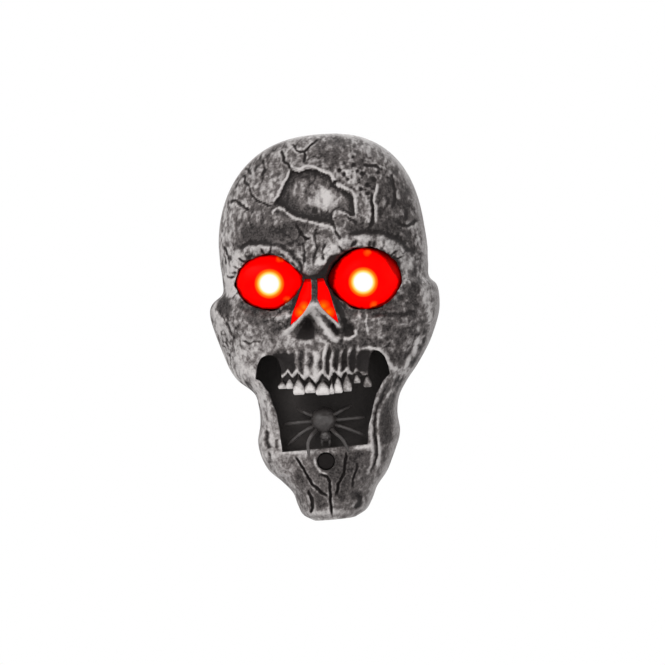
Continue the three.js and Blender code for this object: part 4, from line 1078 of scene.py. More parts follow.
    hollows: tuple[Patch, ...] = each(
        Patch,
        # the left nostril, the chin's notch and the pit by the right ear
        (-2.8, 0.8, 2.6, 3.4, -0.6), (-5.4, -2.4, 3.4, 2.2, -1.6),
        (13, -74.4, 1.7, 1.7, -1.8), (38.4, 12, 3, 3.4, -1.2),
    )
    nostrils: tuple[Points, ...] = (
        ((-3.2, 4.2), (-5.4, 1), (-8.6, -4.4), (-4.8, -5.6), (-0.6, -5.4), (-1, -0.6)),
        ((12.6, 0.6), (11.8, -2), (13.4, -4.6), (16.6, -4), (16.4, -0.6)),
    )
    gum_line: Points = (
        (-17.8, -22), (-15.2, -21.2), (-12.8, -18.6), (-10.8, -20.9), (-8.2, -18.8), (-5.7, -22.8),
        (-3.6, -20.4), (-1.1, -23.8), (2.6, -19.4), (5.4, -22.6), (7.4, -19.2), (10.4, -21.8),
        (12.8, -18.8), (15.4, -21), (17.2, -19.2), (19.6, -21.2),
    )
    bone_grain: tuple[Grain, ...] = (Grain(0.5, 9.0, 3), Grain(0.34, 3.4, 7), Grain(0.26, 1.7, 9, 2))
    crackle: Grain = Grain(1.0, 5.0, 15, 2)
    streaked: Patch = Patch(-30, 60, 24, 16, 0.3)
    pit_share: float = 0.26
    pit_cell: float = 2.6
    pitted: tuple[Patch, ...] = each(Patch, (19, 65, 11, 8, 0.6), (23, 52, 6, 10, 0.4))
    pocks: tuple[Patch, ...] = each(
        Patch,
        (12.2, 67.9, 0.7, 0.6, 1.3), (14.3, 66, 0.7, 0.8, 1.4), (16.1, 63.7, 0.6, 0.5, 1),
        (18.2, 70, 0.8, 0.6, 1.2), (20, 67.2, 0.5, 0.5, 1), (22.1, 66, 0.8, 0.6, 1.3),
        (24.2, 60.9, 0.8, 0.7, 1.3), (27, 63.2, 0.6, 0.8, 1.2), (21.7, 59.2, 0.6, 0.6, 1.2),
        (24.5, 57.1, 0.8, 0.6, 1.3), (10.6, 62.8, 0.7, 0.6, 1.2), (28.7, 66.4, 0.6, 0.6, 1),
        (17.8, 73.4, 0.5, 0.5, 0.9),
    )

    def __post_init__(self) -> None:
        """Prepare the landmark lines: half width, drift of the midline, depth and squareness by height."""
        low, middle, crown = self.chin_bottom, self.middle, self.crown_top
        top, jaw, chin = self.half_width_top, self.half_width_jaw, self.half_width_chin
        self.side_line = SmoothLine(
            (low, chin), (low + 2.4, chin + 4.3), (low + 7, chin + 7.2), (-72, chin + 9.6),
            (-67, chin + 13.7), (-62, jaw - 4.7), (-56, jaw - 1.8), (-49, jaw), (-40, jaw - 1.2),
            (-33, jaw - 0.5), (-27, jaw + 2.1), (-20, 40), (-8, 46.4), (10.5, 50.8), (14.5, 49.4),
            (17.7, top), (24, top - 0.4), (middle, top),
        )
        self.drift_line = SmoothLine(
            (low, 1.2), (-67, 1.6), (-61, 0), (-50, 0), (-40, 0.4), (-33, 0.9), (-27, 1.7), (-20, 0.4),
            (-8, 0.9), (2, 0.9), (12, 0.3), (17.7, 1.2), (middle, 0.8), (42, 0), (crown, 0),
        )
        deep, near = self.depth_top, self.depth_jaw
        self.depth_line = SmoothLine(
            (low, near - 6), (low + 3, near - 2.5), (low + 9, near - 0.6), (-66, near + 0.4), (-46, near),
            (-37, near + 3), (-28, deep - 6.5), (-18, deep - 3.6), (-4, deep - 2.4), (10, deep - 0.8),
            (middle, deep),
        )
        self.square_line = SmoothLine(
            (low, 2.8), (-62, 3.8), (-46, 5.6), (-28, 5.6), (-10, 3.6), (20, 3.1), (45, 2.5), (crown, 2.2)
        )

    def dome(self, level: Array, inset: float, fullness: float) -> Array:
        """Share of the cranium's width or depth left at a level, on a full rounded arch."""
        share = np.clip((level - self.middle) / (self.crown_top - inset - self.middle), 0, 1)
        return (1 - share**fullness) ** (1 / fullness)

    def half_width(self, level: Array, inset: float = 0.0) -> Array:
        """Half width of the outline at a level."""
        crown = (self.half_width_top - inset) * self.dome(level, inset, 2.4)
        return np.where(level > self.middle, crown, self.side_line(level) - inset)

    def mid_depth(self, level: Array, inset: float = 0.0) -> Array:
        """Depth of the midline at a level."""
        crown = (self.depth_top - inset) * self.dome(level, inset, 2.2)
        return np.where(level > self.middle, crown, self.depth_line(level) - inset)

    def plain(self, share: Array, level: Array, inset: float = 0.0) -> Array:
        """Depth of the plain form at a share of the half width: a rounded box, squarer at the mouth."""
        left = np.maximum(0, 1 - np.abs(share) ** self.square_line(level))
        return self.mid_depth(level, inset) * left ** (1 / self.roundness)

    def plain_at(self, x: Array, z: Array) -> Array:
        """Depth of the plain form at places on the face.

        Args:
            x, z: Places.

        Returns:
            The depth, 0 outside the outline.
        """
        level = z - self.lean * x
        width = np.maximum(self.half_width(level), 1e-6)
        return self.plain(np.clip((x - self.drift_line(level)) / width, -1, 1), level)

    def lip(self, x: Array) -> Array:
        """Height of the lower lip."""
        return self.lip_z + self.lip_slope * x

    def relief(self, x: Array, z: Array) -> Array:
        """Main features, raised on or sunk into the plain form as bells, ridges and eased steps.

        Args:
            x, z: Places.

        Returns:
            The height over the plain form.
        """
        total = sum(eye.socket(x, z) for eye in EYES) + added(self.bulges, x, z)
        down = np.clip((self.bridge_top - z) / self.bridge_length, 0, 1)
        bridge = down * bell(x - self.bridge_x, 4.6 + 2.4 * down)
        total += self.bridge_height * bridge * smoothstep(self.bridge_end - z, 7, 0)
        upper_jaw = smoothstep(np.abs(x - self.jaw_x) / self.jaw_reach, 1.25, 0.55)
        total += self.jaw_height * upper_jaw * smoothstep(z, -42, -24) * smoothstep(z, -4, -14)
        return total + self.lip_height * bell(z - self.lip(x) + 1.6, 2)

    def unrolled(self, x: Array, z: Array) -> Array:
        """Distance across the face that goes on round its sides, so that grain isn't drawn out there."""
        level = z - self.lean * x
        return x + 0.5 * np.sign(x) * (self.mid_depth(level) - self.plain_at(x, z))

    def plate_parts(self, x: Array, z: Array) -> tuple[Array, Array]:
        """Find the broken plate, whose edge is ragged.

        Args:
            x, z: Places.

        Returns:
            Distance from the plate's edge, and True for each place inside it.
        """
        ragged_x = x + 0.4 * lattice_noise(x, z, 3.0, 31)
        ragged_z = z + 0.4 * lattice_noise(x, z, 3.0, 32)
        gap, _ = path_distance(ragged_x, ragged_z, [*self.plate, self.plate[0]])
        return gap, inside_outline(ragged_x, ragged_z, self.plate)

    def grooves(self, x: Array, z: Array, lines: Sequence[Groove], wander: float) -> Marks:
        """Cracks and ridges: bells across each wandering line, faded toward its ends.

        Args:
            x, z: Places.
            lines: The cracks or ridges.
            wander: How far they stray, 1 being a crack's.

        Returns:
            Height and stain.
        """
        wavy_x = x + wander * (0.4 * lattice_noise(x, z, 3.0, 31) + 0.25 * lattice_noise(x, z, 1.3, 33))
        wavy_z = z + wander * (0.4 * lattice_noise(x, z, 3.0, 32) + 0.25 * lattice_noise(x, z, 1.3, 34))
        height, stain = np.zeros_like(x), np.zeros_like(x)
        margin = 5.0
        for line in lines:
            corners = np.array(line.path)
            low, high = corners.min(0) - margin, corners.max(0) + margin
            near = (x > low[0]) & (x < high[0]) & (z > low[1]) & (z < high[1])
            gap, share = path_distance(wavy_x[near], wavy_z[near], line.path)
            fade = smoothstep(share, -0.02, 0.12) * smoothstep(share, 1.02, 0.88)
            dip = bell(gap, line.width)
            lips = bell(gap - 2 * line.width, 0.9 * line.width)
            height[near] += line.depth * fade * (line.lip * lips - dip)
            stain[near] += line.stain * fade * (dip - 0.3 * line.lip * lips)
        return height, stain

    def texture(self, x: Array, z: Array, calm: Array) -> Marks:
        """Grain of the bone: noises, crackle where one crosses zero, and streaks on forehead and right side.

        Args:
            x, z: Places.
            calm: Share of the noises that is kept.

        Returns:
            Height and stain.
        """
        across = self.unrolled(x, z)
        jaw = smoothstep(z, -26, -40)
        patchy = smoothstep(lattice_noise(across, z, 8.0, 16), -0.3, 0.4) * (1 - jaw)
        crackle = patchy * bell(self.crackle.over(across, z), 0.12)
        streak = layered_noise(across * 0.35 + z * 0.2, z - across * 0.25, 2.6, 11)
        height = calm * (1 - 0.35 * jaw) * added(self.bone_grain, across, z) - 0.4 * crackle
        height += streak * (self.streaked.over(x, z) + 0.25 * (x > 22))
        return height, 0.26 * crackle

    def pitting(self, x: Array, z: Array, calm: Array) -> Marks:
        """Pits over the right brow: small ones scattered one to a cell, and larger pocks.

        Args:
            x, z: Places.
            calm: Share of the small pits that is kept.

        Returns:
            Height and stain.
        """
        away = nearest_pit(self.unrolled(x, z), z, self.pit_cell, 21)
        pits = calm * added(self.pitted, x, z) * np.clip(self.pit_share - away, 0, 1) / self.pit_share
        height, stain = -0.9 * pits, 0.55 * pits
        for pock in self.pocks:
            hole = pock.share(x, z)
            height -= pock.amount * hole
            stain += 1.3 * hole
        return height, stain

    def gums(self, x: Array, z: Array) -> Marks:
        """Upper jaw over the teeth: upright root ridges, a raised zigzag gum line and a hollow under it.

        Args:
            x, z: Places.

        Returns:
            Height and stain.
        """
        right = x > self.jaw_x
        wander = lattice_noise(x, z, 5.0, 91)
        waves = (x - 0.08 * z - 1.2 + 0.5 * wander) / np.where(right, 3.5, 4.2)
        ends = -9.0 + 1.6 * lattice_noise(x, 0 * z, 2.6, 95)
        roots = np.cos(2 * math.pi * waves) * smoothstep(z, -23, -20.5) * smoothstep(z - ends, 1, -2)
        roots *= smoothstep(19 - np.abs(x - 2), 0, 6)
        gum = np.interp(x + 0.3 * wander, *np.transpose(self.gum_line)) + 0.4 * lattice_noise(x, z, 2.6, 93)
        line = bell(z - gum, 0.9) * smoothstep(17.6 - np.abs(x + 1), 0, 2)
        hollow = smoothstep(gum - z, 0.4, 1.2) * smoothstep(z, -27, -25)
        hollow *= smoothstep(20 - np.abs(x - 2), 0, 2)
        height = np.where(right, 0.9, 0.5) * roots + 0.9 * line - 0.8 * hollow
        return height, 0.6 * hollow - line - np.where(right, 0.36, 0.16) * roots

    def detail(self, x: Array, z: Array) -> Marks:
        """Sculpted detail over the main relief.

        Args:
            x, z: Places.

        Returns:
            The height, and the stain that darkens cracks or, below zero, lightens ridges.
        """
        gap, within = self.plate_parts(x, z)
        calm = np.where(within, 0.55, 1.0)
        height, stain = self.grooves(x, z, self.cracks, 1.0)
        height = np.where(within, 0.5 * height - self.plate_depth * smoothstep(gap, 0.0, 0.9), height)
        height += added(self.hollows, x, z)
        parts = [self.grooves(x, z, self.ridges, 0.3), self.texture(x, z, calm), self.pitting(x, z, calm)]
        parts += [self.gums(x, z), *(eye.brow(x, z) for eye in EYES)]
        for part_height, part_stain in parts:
            height += part_height
            stain += part_stain
        return height, stain

    def carved(self, x: Array, z: Array, plain: Array) -> Array:
        """Depth of the finished face over the plain form's: relief and detail fade out toward the rim."""
        raised = self.relief(x, z) + self.detail(x, z)[0] * smoothstep(plain, *self.detail_fade)
        return plain + raised * smoothstep(plain, *self.relief_fade)


@dataclass
class FaceMap:
    """The face's heights on an even grid, for telling what stands out from what lies sunk."""

    form: SkullForm
    step: float = 0.4
    half_width: float = 56.0
    half_height: float = 92.0
    fine_reach: float = 0.9
    broad_reach: float = 3.2

    def __post_init__(self) -> None:
        """Sample the form's relief and detail, and take what stands out at a fine and at a broad reach."""
        across = np.arange(-self.half_width, self.half_width, self.step)
        up = np.arange(-self.half_height, self.half_height, self.step)
        x, z = np.meshgrid(across, up)
        detail, self.stain = self.form.detail(x, z)
        heights = self.form.relief(x, z) + detail
        self.fine = heights - self.blurred(heights, self.fine_reach)
        self.broad = heights - self.blurred(heights, self.broad_reach)

    def blurred(self, values: Array, reach: float) -> Array:
        """Average values over a bell, worked out on their waves.

        Args:
            values: Values on the grid.
            reach: The bell's reach.

        Returns:
            The averages on the grid.
        """
        waves = np.fft.rfft2(values)
        up = np.fft.fftfreq(values.shape[0], self.step)[:, None]
        across = np.fft.rfftfreq(values.shape[1], self.step)[None, :]
        kept = np.exp(-2 * (math.pi * reach) ** 2 * (across**2 + up**2))
        return np.fft.irfft2(waves * kept, values.shape)

    def sample(self, values: Array, x: Array, z: Array) -> Array:
        """Read values between their four nearest grid points.

        Args:
            values: Values on the grid.
            x, z: Places.

        Returns:
            The value at each place.
        """
        inside = 1.001
        across = np.clip((x + self.half_width) / self.step, 0, values.shape[1] - inside)
        up = np.clip((z + self.half_height) / self.step, 0, values.shape[0] - inside)
        column, row = across.astype(int), up.astype(int)
        u, v = across - column, up - row
        low = values[row, column] * (1 - u) + values[row, column + 1] * u
        high = values[row + 1, column] * (1 - u) + values[row + 1, column + 1] * u
        return low * (1 - v) + high * v


@dataclass
class SkullMask:
    """Front shell of the skull: sculpted skin, hollow inside, and the openings through it."""

    form: SkullForm
    wall: float = 2.2
    beyond: float = 70.0
    skin_rows: tuple[int, int, int] = (104, 158, 92)
    skin_columns: int = 250
    hollow_rows: tuple[int, int, int] = (24, 36, 16)
    hollow_columns: int = 52
    hollow_back: float = -3.0
    hollow_reach: float = 3.2
    plate_room: Patch = Patch(3, 56, 20, 15, 1.5)
    face_bottom: float = -34.0
    face_top: float = 42.0
    eye_fit: float = 0.3
    eye_rough: float = 0.55
    collar_wall: float = 2.2
    collar_end: float = 24.5
    window: Point = (1.0, -59.0)
    window_radius: float = 3.95
    mouth_rough: float = 0.35
    lip_ends: Point = (-18.3, 19.5)
    mouth_edge: Points = (
        (21.4, -30.6), (31, -21.8), (30, -11.4), (25, -11.4), (22.4, -11.4), (21.8, -21.6), (3, -27.6),
        (-15.8, -22.6), (-16.4, -11.4), (-20.5, -11.4), (-27, -11.4), (-28, -21.8), (-19.7, -25),
    )
    slit_edge: Points = (
        (1.2, 21), (1.2, 12), (3, 8.4), (5.8, 5.2), (10.9, 0.8), (10.1, 5), (6.8, 15), (4.2, 21)
    )
    septum_x: float = 0.85
    slit_spread: Point = (1.1, 0.86)
    cover_screws: Points = ((-35.5, 48.0), (35.5, 48.0), (-40.3, 1.5), (40.3, 1.5), (1.5, -74.5))
    screw_hole: float = 1.45
    screw_depth: float = 12.0
    boss_radius: float = 3.2
    boss_end: float = 4.0
    blotches: tuple[Grain, ...] = (Grain(1.0, 1.7, 59, 2), Grain(0.6, 4.2, 55))
    # Patches of paint tone. Some are the paint's own lighter and darker places; others are painted light and
    # painted shade: lighter toward the left side and on the chin's underside, darker toward the right side, in
    # the hollows above the brows and at the plate's lower edge.
    paint_light_and_shade: tuple[Patch, ...] = each(
        Patch,
        # forehead and crown
        (-40, 48, 6, 10, 0.26), (-6, 44, 8, 4.4, -0.3), (-12, 52.6, 7, 4, -0.7), (-3, 50.4, 6, 2.4, -0.3),
        (5, 46.4, 8, 2.6, -0.5), (35, 51, 7, 11, -0.36), (43, 45, 3, 6, 0.26), (21, 47, 5, 3, 0.26),
        (9, 77, 13, 3.6, -0.22), (7.6, 54.6, 5, 6, 0.7), (-9, 64, 5, 5, -0.2), (14, 65.6, 4.4, 3.6, 0.2),
        (-7, 78, 8, 4, 0.3), (20, 77, 10, 4, 0.2), (21, 70, 6, 4, -0.2), (-18.4, 63, 4, 7, 0.36),
        # brows and temples
        (-40, 31, 6, 16, 0.44), (-20, 41.2, 11, 4.2, -0.6), (-36.4, 30, 3, 6, 0.4),
        (-12, 33.6, 4, 2.4, -0.34), (28, 41.4, 12, 3, -0.56), (12, 40.6, 4, 3.4, 0.4),
        (8, 31, 6, 5, 0.38), (0, 34, 3, 4, 0.2),
        # nose
        (-12, -3, 2.8, 4, 0.75), (-3.4, -0.6, 3.6, 3.6, -0.75), (-6, -2.8, 3.2, 2, -0.5),
        (13.6, -1.2, 2.8, 2.8, -0.8), (0.85, 16.6, 1.8, 5.4, -1.4), (0.8, 4, 2.6, 4, 0.7),
        # cheeks and ears
        (36, 4.4, 10, 4.4, -0.7), (36, -3, 7, 4, -0.24), (-19.5, 1.6, 9, 5, -0.42),
        (-25, 4.6, 9, 2.6, -0.3), (-37, -11, 9, 7, 0.3), (-36, 1, 4, 5, -0.3), (-20, -9, 10, 3.4, 0.22),
        (-30, -3, 4, 4, 0.24), (-24, -8, 3, 3, -0.26), (-37, -19, 8, 6, 0.46), (-46, 2, 5, 14, 0.3),
        (-41.8, 10.2, 2.9, 3.1, -0.95), (42.6, 14, 3, 7.4, -0.44), (47, 6, 2.4, 10, 0.55),
        (41.6, -8.8, 3, 4, 0.44), (35, -8, 4, 3, -0.24), (-25, -17, 3.6, 8, 0.3),
        (31.4, -16.6, 2.2, 5, 0.36), (33.4, -15.4, 2.2, 2.4, -0.4), (36.6, -22, 2.4, 2.4, 0.5),
        # upper jaw
        (2, -14, 3, 7, 0.36), (-2, -20.4, 4.4, 3, 0.5), (-7, -12, 3, 4, -0.3), (19, -8, 7, 3, -0.5),
        (5, -8, 3, 2.4, 0.4), (-15, -14.8, 6.4, 5, -0.62), (11, -15, 6.4, 6, -0.7),
        # sides of the lower jaw
        (-26, -30, 4, 10, 0.4), (-22.6, -45, 3, 13, 0.32), (27.1, -40.6, 2.2, 9, -1),
        (-28, -52, 3.6, 9, 0.34), (-18.6, -49.4, 2, 5, 0.4), (-23, -63, 5, 4, 0.3),
        (24.4, -47, 2.6, 6, -0.2), (31.2, -32, 3, 10, -0.36), (-28, -35, 1.6, 8.5, -0.44),
        # lip and chin
        (8, -61, 9, 7, -0.36), (0, -68, 13, 10, -0.26), (-11, -57, 5, 2.4, 0.2),
        (16, -56.6, 5, 2.2, -0.36), (-15, -70, 5, 8, 0.3), (13.8, -74.8, 1.9, 1.7, -1),
        (-11, -67.4, 3, 4, -0.34), (-2.8, -76, 3.4, 3.4, -0.28), (9, -75, 3, 4, -0.2),
        (-1, -85, 13, 1.6, 0.6), (0, -81.6, 10, 1.4, 0.6), (-12, -54.6, 8, 0.7, 0.6),
        (17, -53.4, 3.4, 0.7, 0.55),
    )

    def places(self, rows: Sequence[int], columns: int, inset: float) -> tuple[Array, Array, Array]:
        """Grid over the face: rows close up toward the crown, and x is a sine share of the half width.

        Args:
            rows: How many for the jaw, the face and the crown.
            columns: How many across.
            inset: Distance inside the outer form.

        Returns:
            x, z and the plain form's depth, by row and column.
        """
        form, bottom, top = self.form, self.face_bottom, self.face_top
        jaw = np.linspace(form.chin_bottom + inset, bottom, rows[0], endpoint=False)
        face = np.linspace(bottom, top, rows[1], endpoint=False)
        rise = np.sin(np.linspace(0, math.pi / 2, rows[2], endpoint=False))
        crown = top + (form.crown_top - inset - top) * rise
        across = np.sin(np.linspace(-1, 1, columns) * math.pi / 2)
        level, share = np.meshgrid(np.concatenate([jaw, face, crown]), across, indexing="ij")
        x = form.drift_line(level) + form.half_width(level, inset) * share
        return x, level + form.lean * x, form.plain(share, level, inset)

    def skin(self) -> Solid:
        """Outer solid: the grid over the face at its finished depth, joined end to end at the back.

        Returns:
            Points and faces.
        """
        x, z, plain = self.places(self.skin_rows, self.skin_columns, 0.0)
        grid = np.dstack([x, z, self.form.carved(x, z, plain)])
        return closed_loops(grid, tip=(0.0, self.form.crown_top, 0.0))

    def hollow(self) -> Solid:
        """Inner solid, a wall's thickness in, that follows the deepest sink nearby and opens at the back.

        Returns:
            Points and faces.
        """
        form = self.form
        x, z, plain = self.places(self.hollow_rows, self.hollow_columns, self.wall)
        lowest = np.minimum(0, form.relief(x, z))
        for turn in around(8):
            reach_x, reach_z = self.hollow_reach * math.cos(turn), self.hollow_reach * math.sin(turn)
            lowest = np.minimum(lowest, form.relief(x + reach_x, z + reach_z))
        lowest -= form.plate_depth * np.minimum(1, self.plate_room.over(x, z))
        grid = np.dstack([x, z, plain + (lowest - 0.5) * smoothstep(plain, *form.relief_fade)])
        skirt = grid[:, [0, -1]]
        skirt[..., 2] = self.hollow_back
        whole = np.concatenate([skirt[:, :1], grid, skirt[:, 1:]], axis=1)
        return closed_loops(whole, tip=(0.0, form.crown_top - self.wall, self.hollow_back))

    def circle(self, place: Point, radius: float, count: int) -> Array:
        """Round outline."""
        angle = around(count)
        return np.column_stack([place[0] + radius * np.cos(angle), place[1] + radius * np.sin(angle)])

    def mouth(self) -> Array:
        """Outline of the open mouth: the lip, then curves round the sides, two arches and the gum line.

        The mouth's edge holds, in turn, the point that each curve bends toward and the one where it ends.

        Returns:
            The points, counterclockwise to the viewer.
        """
        left, right = ((x, self.form.lip(x)) for x in self.lip_ends)
        knots = [right, *self.mouth_edge, left]
        curves = [bend(*knots[i : i + 3]) for i in range(0, len(knots) - 2, 2)]
        outline = np.vstack([np.linspace(left, right, 30, endpoint=False), *curves])
        rough = self.mouth_rough * smoothstep(outline[:, 1], -52, -48)
        wander = lattice_noise(outline[:, 0], outline[:, 1], 2.6, 41)
        return outline + np.column_stack([rough * wander, rough * np.roll(wander, 7)])

    def slit_sides(self, side: Side) -> Array:
        """Edge of one slit as distances out from the septum's middle, and heights."""
        return np.array(self.slit_edge) * (self.slit_spread[side is Side.RIGHT], 1.0)

    def slit(self, side: Side) -> Array:
        """Outline of the wedge-shaped slit on one side of the nose, counterclockwise to the viewer."""
        out, up = self.slit_sides(side)[:: side.value].T
        return np.column_stack([self.septum_x + side.value * out, up])

    def openings(self) -> Solid:
        """Everything that is cut through the shell: mouth, eyes, slits, window and screw holes.

        Returns:
            Points and faces.
        """
        far = self.beyond
        holes = [prism(self.mouth(), 10, far)]
        holes += [prism(eye.ring(self.eye_fit, 220, self.eye_rough), 10, far) for eye in EYES]
        holes += [prism(self.slit(side), 20, far) for side in Side]
        holes.append(prism(self.circle(self.window, self.window_radius, 64), 10, far))
        for place in self.cover_screws:
            holes.append(prism(self.circle(place, self.screw_hole, 16), -1, self.screw_depth))
        return joined(*holes)

    def inner_walls(self) -> Solid:
        """Collars behind the eyes and bosses for the cover's screws, which stay when the inside is hollowed.

        Returns:
            Points and faces.
        """
        far = self.beyond
        walls = [prism(eye.ring(self.collar_wall, 96), self.collar_end, far) for eye in EYES]
        for place in self.cover_screws:
            walls.append(prism(self.circle(place, self.boss_radius, 24), self.boss_end, far))
        return joined(*walls)

    def brushed(self, x: Array, z: Array, inner: Array, face_map: FaceMap) -> Array:
        """Tone of the brushed paint: blotches, light on what stands out, patches of paint tone with painted
        light and shade, painted shade in the sunk plate, and dark cracks.

        Args:
            x, z: Places.
            inner: Share of the carving that shows there.
            face_map: Heights and stains of the face.

        Returns:
            The tone.
        """
        across = self.form.unrolled(x, z)
        smooth = smoothstep(-z, 30, 46)
        tone = 0.46 + 0.12 * layered_noise(across, z, 11.0, 51) + 0.08 * lattice_noise(across, z, 0.8, 58)
        tone += (0.28 - 0.18 * smooth) * (smoothstep(added(self.blotches, across, z), -0.4, 0.4) - 0.5)
        fine = np.clip(face_map.sample(face_map.fine, x, z) / 0.5, -1, 1)
        broad = np.clip(face_map.sample(face_map.broad, x, z) / 1.5, -1, 1)
        tone += inner * (0.34 * fine + (0.34 - 0.1 * smooth) * broad + added(self.paint_light_and_shade, x, z))
        gap, within = self.form.plate_parts(x, z)
        # Inside the broken plate: brush streaks, and painted shade that darkens it toward its sunk edge.
        streaks = 0.2 * layered_noise(across * 1.5, z * 0.45, 2.2, 61)
        tone += np.where(within, streaks - 0.4 * np.exp(-gap / 2.0), 0.0)
        tone = np.maximum(tone, 0.12) - inner * face_map.sample(face_map.stain, x, z)
        # Painted shade just inside the plate's sunk edge.
        return tone - np.where(within, 0.6 * np.exp(-gap / 0.9), 0.0)

    def painted_shade(self, x: Array, z: Array, tone: Array) -> Array:
        """Painted shade round the eyes and under the two arches, and dark paint with painted shade in the
        nostrils.

        Args:
            x, z: Places.
            tone: Tone of the brushed paint.

        Returns:
            The tone.
        """
        # Painted shade round the eyes.
        tone = tone - sum(eye.shadow(x, z) for eye in EYES)
        # The nostrils darken toward their inside: dark paint and painted shade.
        for corners in self.form.nostrils:
            away, _ = path_distance(x, z, [*corners, corners[0]])
            deep = np.where(inside_outline(x, z, corners), away, -away)
            share = smoothstep(deep, -0.6, 0.7)
            tone = tone * (1 - share) - 0.3 * share
        # Painted shade under the two arches beside the upper jaw, stronger on the left.
        arch = smoothstep(-10.8 - z, 0, 1.4) * smoothstep(z, -20.6, -18.6)
        left = 0.6 * smoothstep(-x, 5, 11) * smoothstep(x, -22, -17)
        right = 0.5 * smoothstep(x, 9, 15) * smoothstep(x, 28, 24)
        return tone - arch * (left + right)

    def tone(self, mesh: Mesh) -> Array:
        """Lightness of the paint: brushed over the face, plain at the rim with painted light from the left, and
        dark inside the shell.

        Args:
            mesh: The shell's mesh.

        Returns:
            The tone at each of its points.
        """
        x, z, depth = places_of(mesh)
        plain = self.form.plain_at(x, z)
        inner = smoothstep(plain, 6, 16)
        face = self.painted_shade(x, z, self.brushed(x, z, inner, FaceMap(self.form)))
        # Painted light: the rim's tone is lighter on the left side and darker on the right, as the light falls.
        rim = 0.74 + 0.18 * smoothstep(-x, -14, 14)
        rim += 0.1 * layered_noise(self.form.unrolled(x, z), z, 7.0, 57)
        tone = np.clip(face * inner + rim * (1 - inner), -0.4, 1.1)
        sunk = (plain > 9) & (self.form.carved(x, z, plain) - depth > 0.8)
        return np.where(sunk, -0.1, tone)

    def build(self) -> Piece:
        """Build the shell, with its paint's tone kept on the points.

        Returns:
            The piece.
        """
        hollow = make_mesh("hollow", *self.hollow())
        hollow = take_away(hollow, make_mesh("walls", *self.inner_walls()))
        shell = take_away(make_mesh("skin", *self.skin()), hollow)
        shell = take_away(shell, make_mesh("holes", *self.openings()))
        shell.name = "skull_shell"
        piece = make_piece(shell, 58.0)
        store(shell, "tone", self.tone(shell))
        DryBrushed("dry_brushed_bone").dress(piece)
        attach(piece, Body.HOUSING.value)
        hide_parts("front_shell")
        return piece


@dataclass(frozen=True)
class Tooth:
    """One tooth: its left and right edges, where it leaves the gum, its lower edge, and its lightness."""

    left: float
    right: float
    top: float
    bottom: float
    tone: float


@dataclass
class UpperTeeth:
    """Row of uneven teeth under the upper jaw."""

    form: SkullForm
    root_z: float = -18.5
    thickness: float = 3.4
    set_back: float = 1.4
    squareness: float = 0.7
    tip_share: float = 0.14
    sides: int = 28
    steps: int = 22
    ground: Colour = (0.031, 0.0245, 0.0225)
    middle: Colour = (0.185, 0.166, 0.159)
    paint: Colour = (0.69, 0.65, 0.63)
    row: tuple[Tooth, ...] = each(
        Tooth,
        (-17.8, -14.0, -23.6, -26.6, 0.9),
        (-13.9, -10.7, -22.4, -26.7, 0.95),
        (-10.6, -5.8, -22.8, -29.4, 0.95),
        (-5.7, -0.9, -24.0, -28.8, 0.9),
        (-0.8, 5.3, -24.2, -29.9, 1.0),
        (5.4, 7.3, -25.0, -29.6, 0.86),
        (7.2, 10.8, -22.6, -29.3, 0.96),
        (11.2, 14.8, -21.8, -28.7, 0.66),
        (15.7, 18.5, -21.6, -25.3, 0.66),
        (19.6, 23.0, -22.4, -27.2, 0.5),
    )

    def tooth(self, tooth: Tooth) -> tuple[Solid, Array]:
        """One tooth: a rounded-box section that swells from the root and rounds off at the lower edge.

        Args:
            tooth: Its edges and tone.

        Returns:
            Points and faces, and the tone of each point.
        """
        share = np.linspace(0, 1, self.steps)[:, None]
        angle = around(self.sides)[None, :]
        middle, half = (tooth.left + tooth.right) / 2, (tooth.right - tooth.left) / 2
        z = self.root_z + (tooth.bottom - self.root_z) * share + 0 * angle
        bared = (tooth.top - z) / (tooth.top - tooth.bottom)
        swell = 0.2 + 0.88 * np.clip(bared / 0.55, 0, 1) ** 0.75
        past = np.maximum(share - (1 - self.tip_share), 0) / self.tip_share
        tip = np.sqrt(np.maximum(0.0, 1 - past**2))
        waves = np.cos(angle), np.sin(angle)
        across, out = (np.sign(wave) * np.abs(wave) ** self.squareness for wave in waves)
        x = middle + half * swell * (0.74 + 0.26 * tip) * across
        root = np.array([middle]), np.array([self.root_z + 0.5])
        front = self.form.carved(*root, self.form.plain_at(*root))[0] - self.set_back
        thick = self.thickness / 2 * (0.75 + 0.35 * np.sin(math.pi * np.clip(share * 1.1, 0, 1)))
        gum = smoothstep(bared, -0.06, 0.14)
        depth = front - 0.6 * share - 1.6 * (1 - gum) + thick * np.maximum(tip, 0.02) * out
        depth += 0.12 * lattice_noise(x, z, 1.1, 71)
        # Dark where the tooth leaves the gum and, higher up, along its sides: painted shade under the gum and
        # between the teeth. It grows lighter toward the lower edge.
        paint = tooth.tone * (0.62 * gum + 0.5 * smoothstep(bared, 0.1, 0.7))
        paint += 0.16 * layered_noise(x, z, 1.6, 73)
        paint -= 0.7 * gum * np.abs(across) ** 3 * smoothstep(bared, 1.0, 0.5)
        return closed_loops(np.dstack([x, z, depth]), outward=False), paint.reshape(-1)

    def build(self) -> Piece:
        """Build the row as one piece.

        Returns:
            The piece.
        """
        solids, tones = zip(*[self.tooth(tooth) for tooth in self.row])
        mesh = make_mesh("upper_teeth", *joined(*solids))
        store(mesh, "tone", np.concatenate(tones))
        piece = make_piece(mesh, 70.0)
        DryBrushed("brushed_teeth", self.ground, self.middle, self.paint).dress(piece)
        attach(piece, Body.HOUSING.value)
        return piece


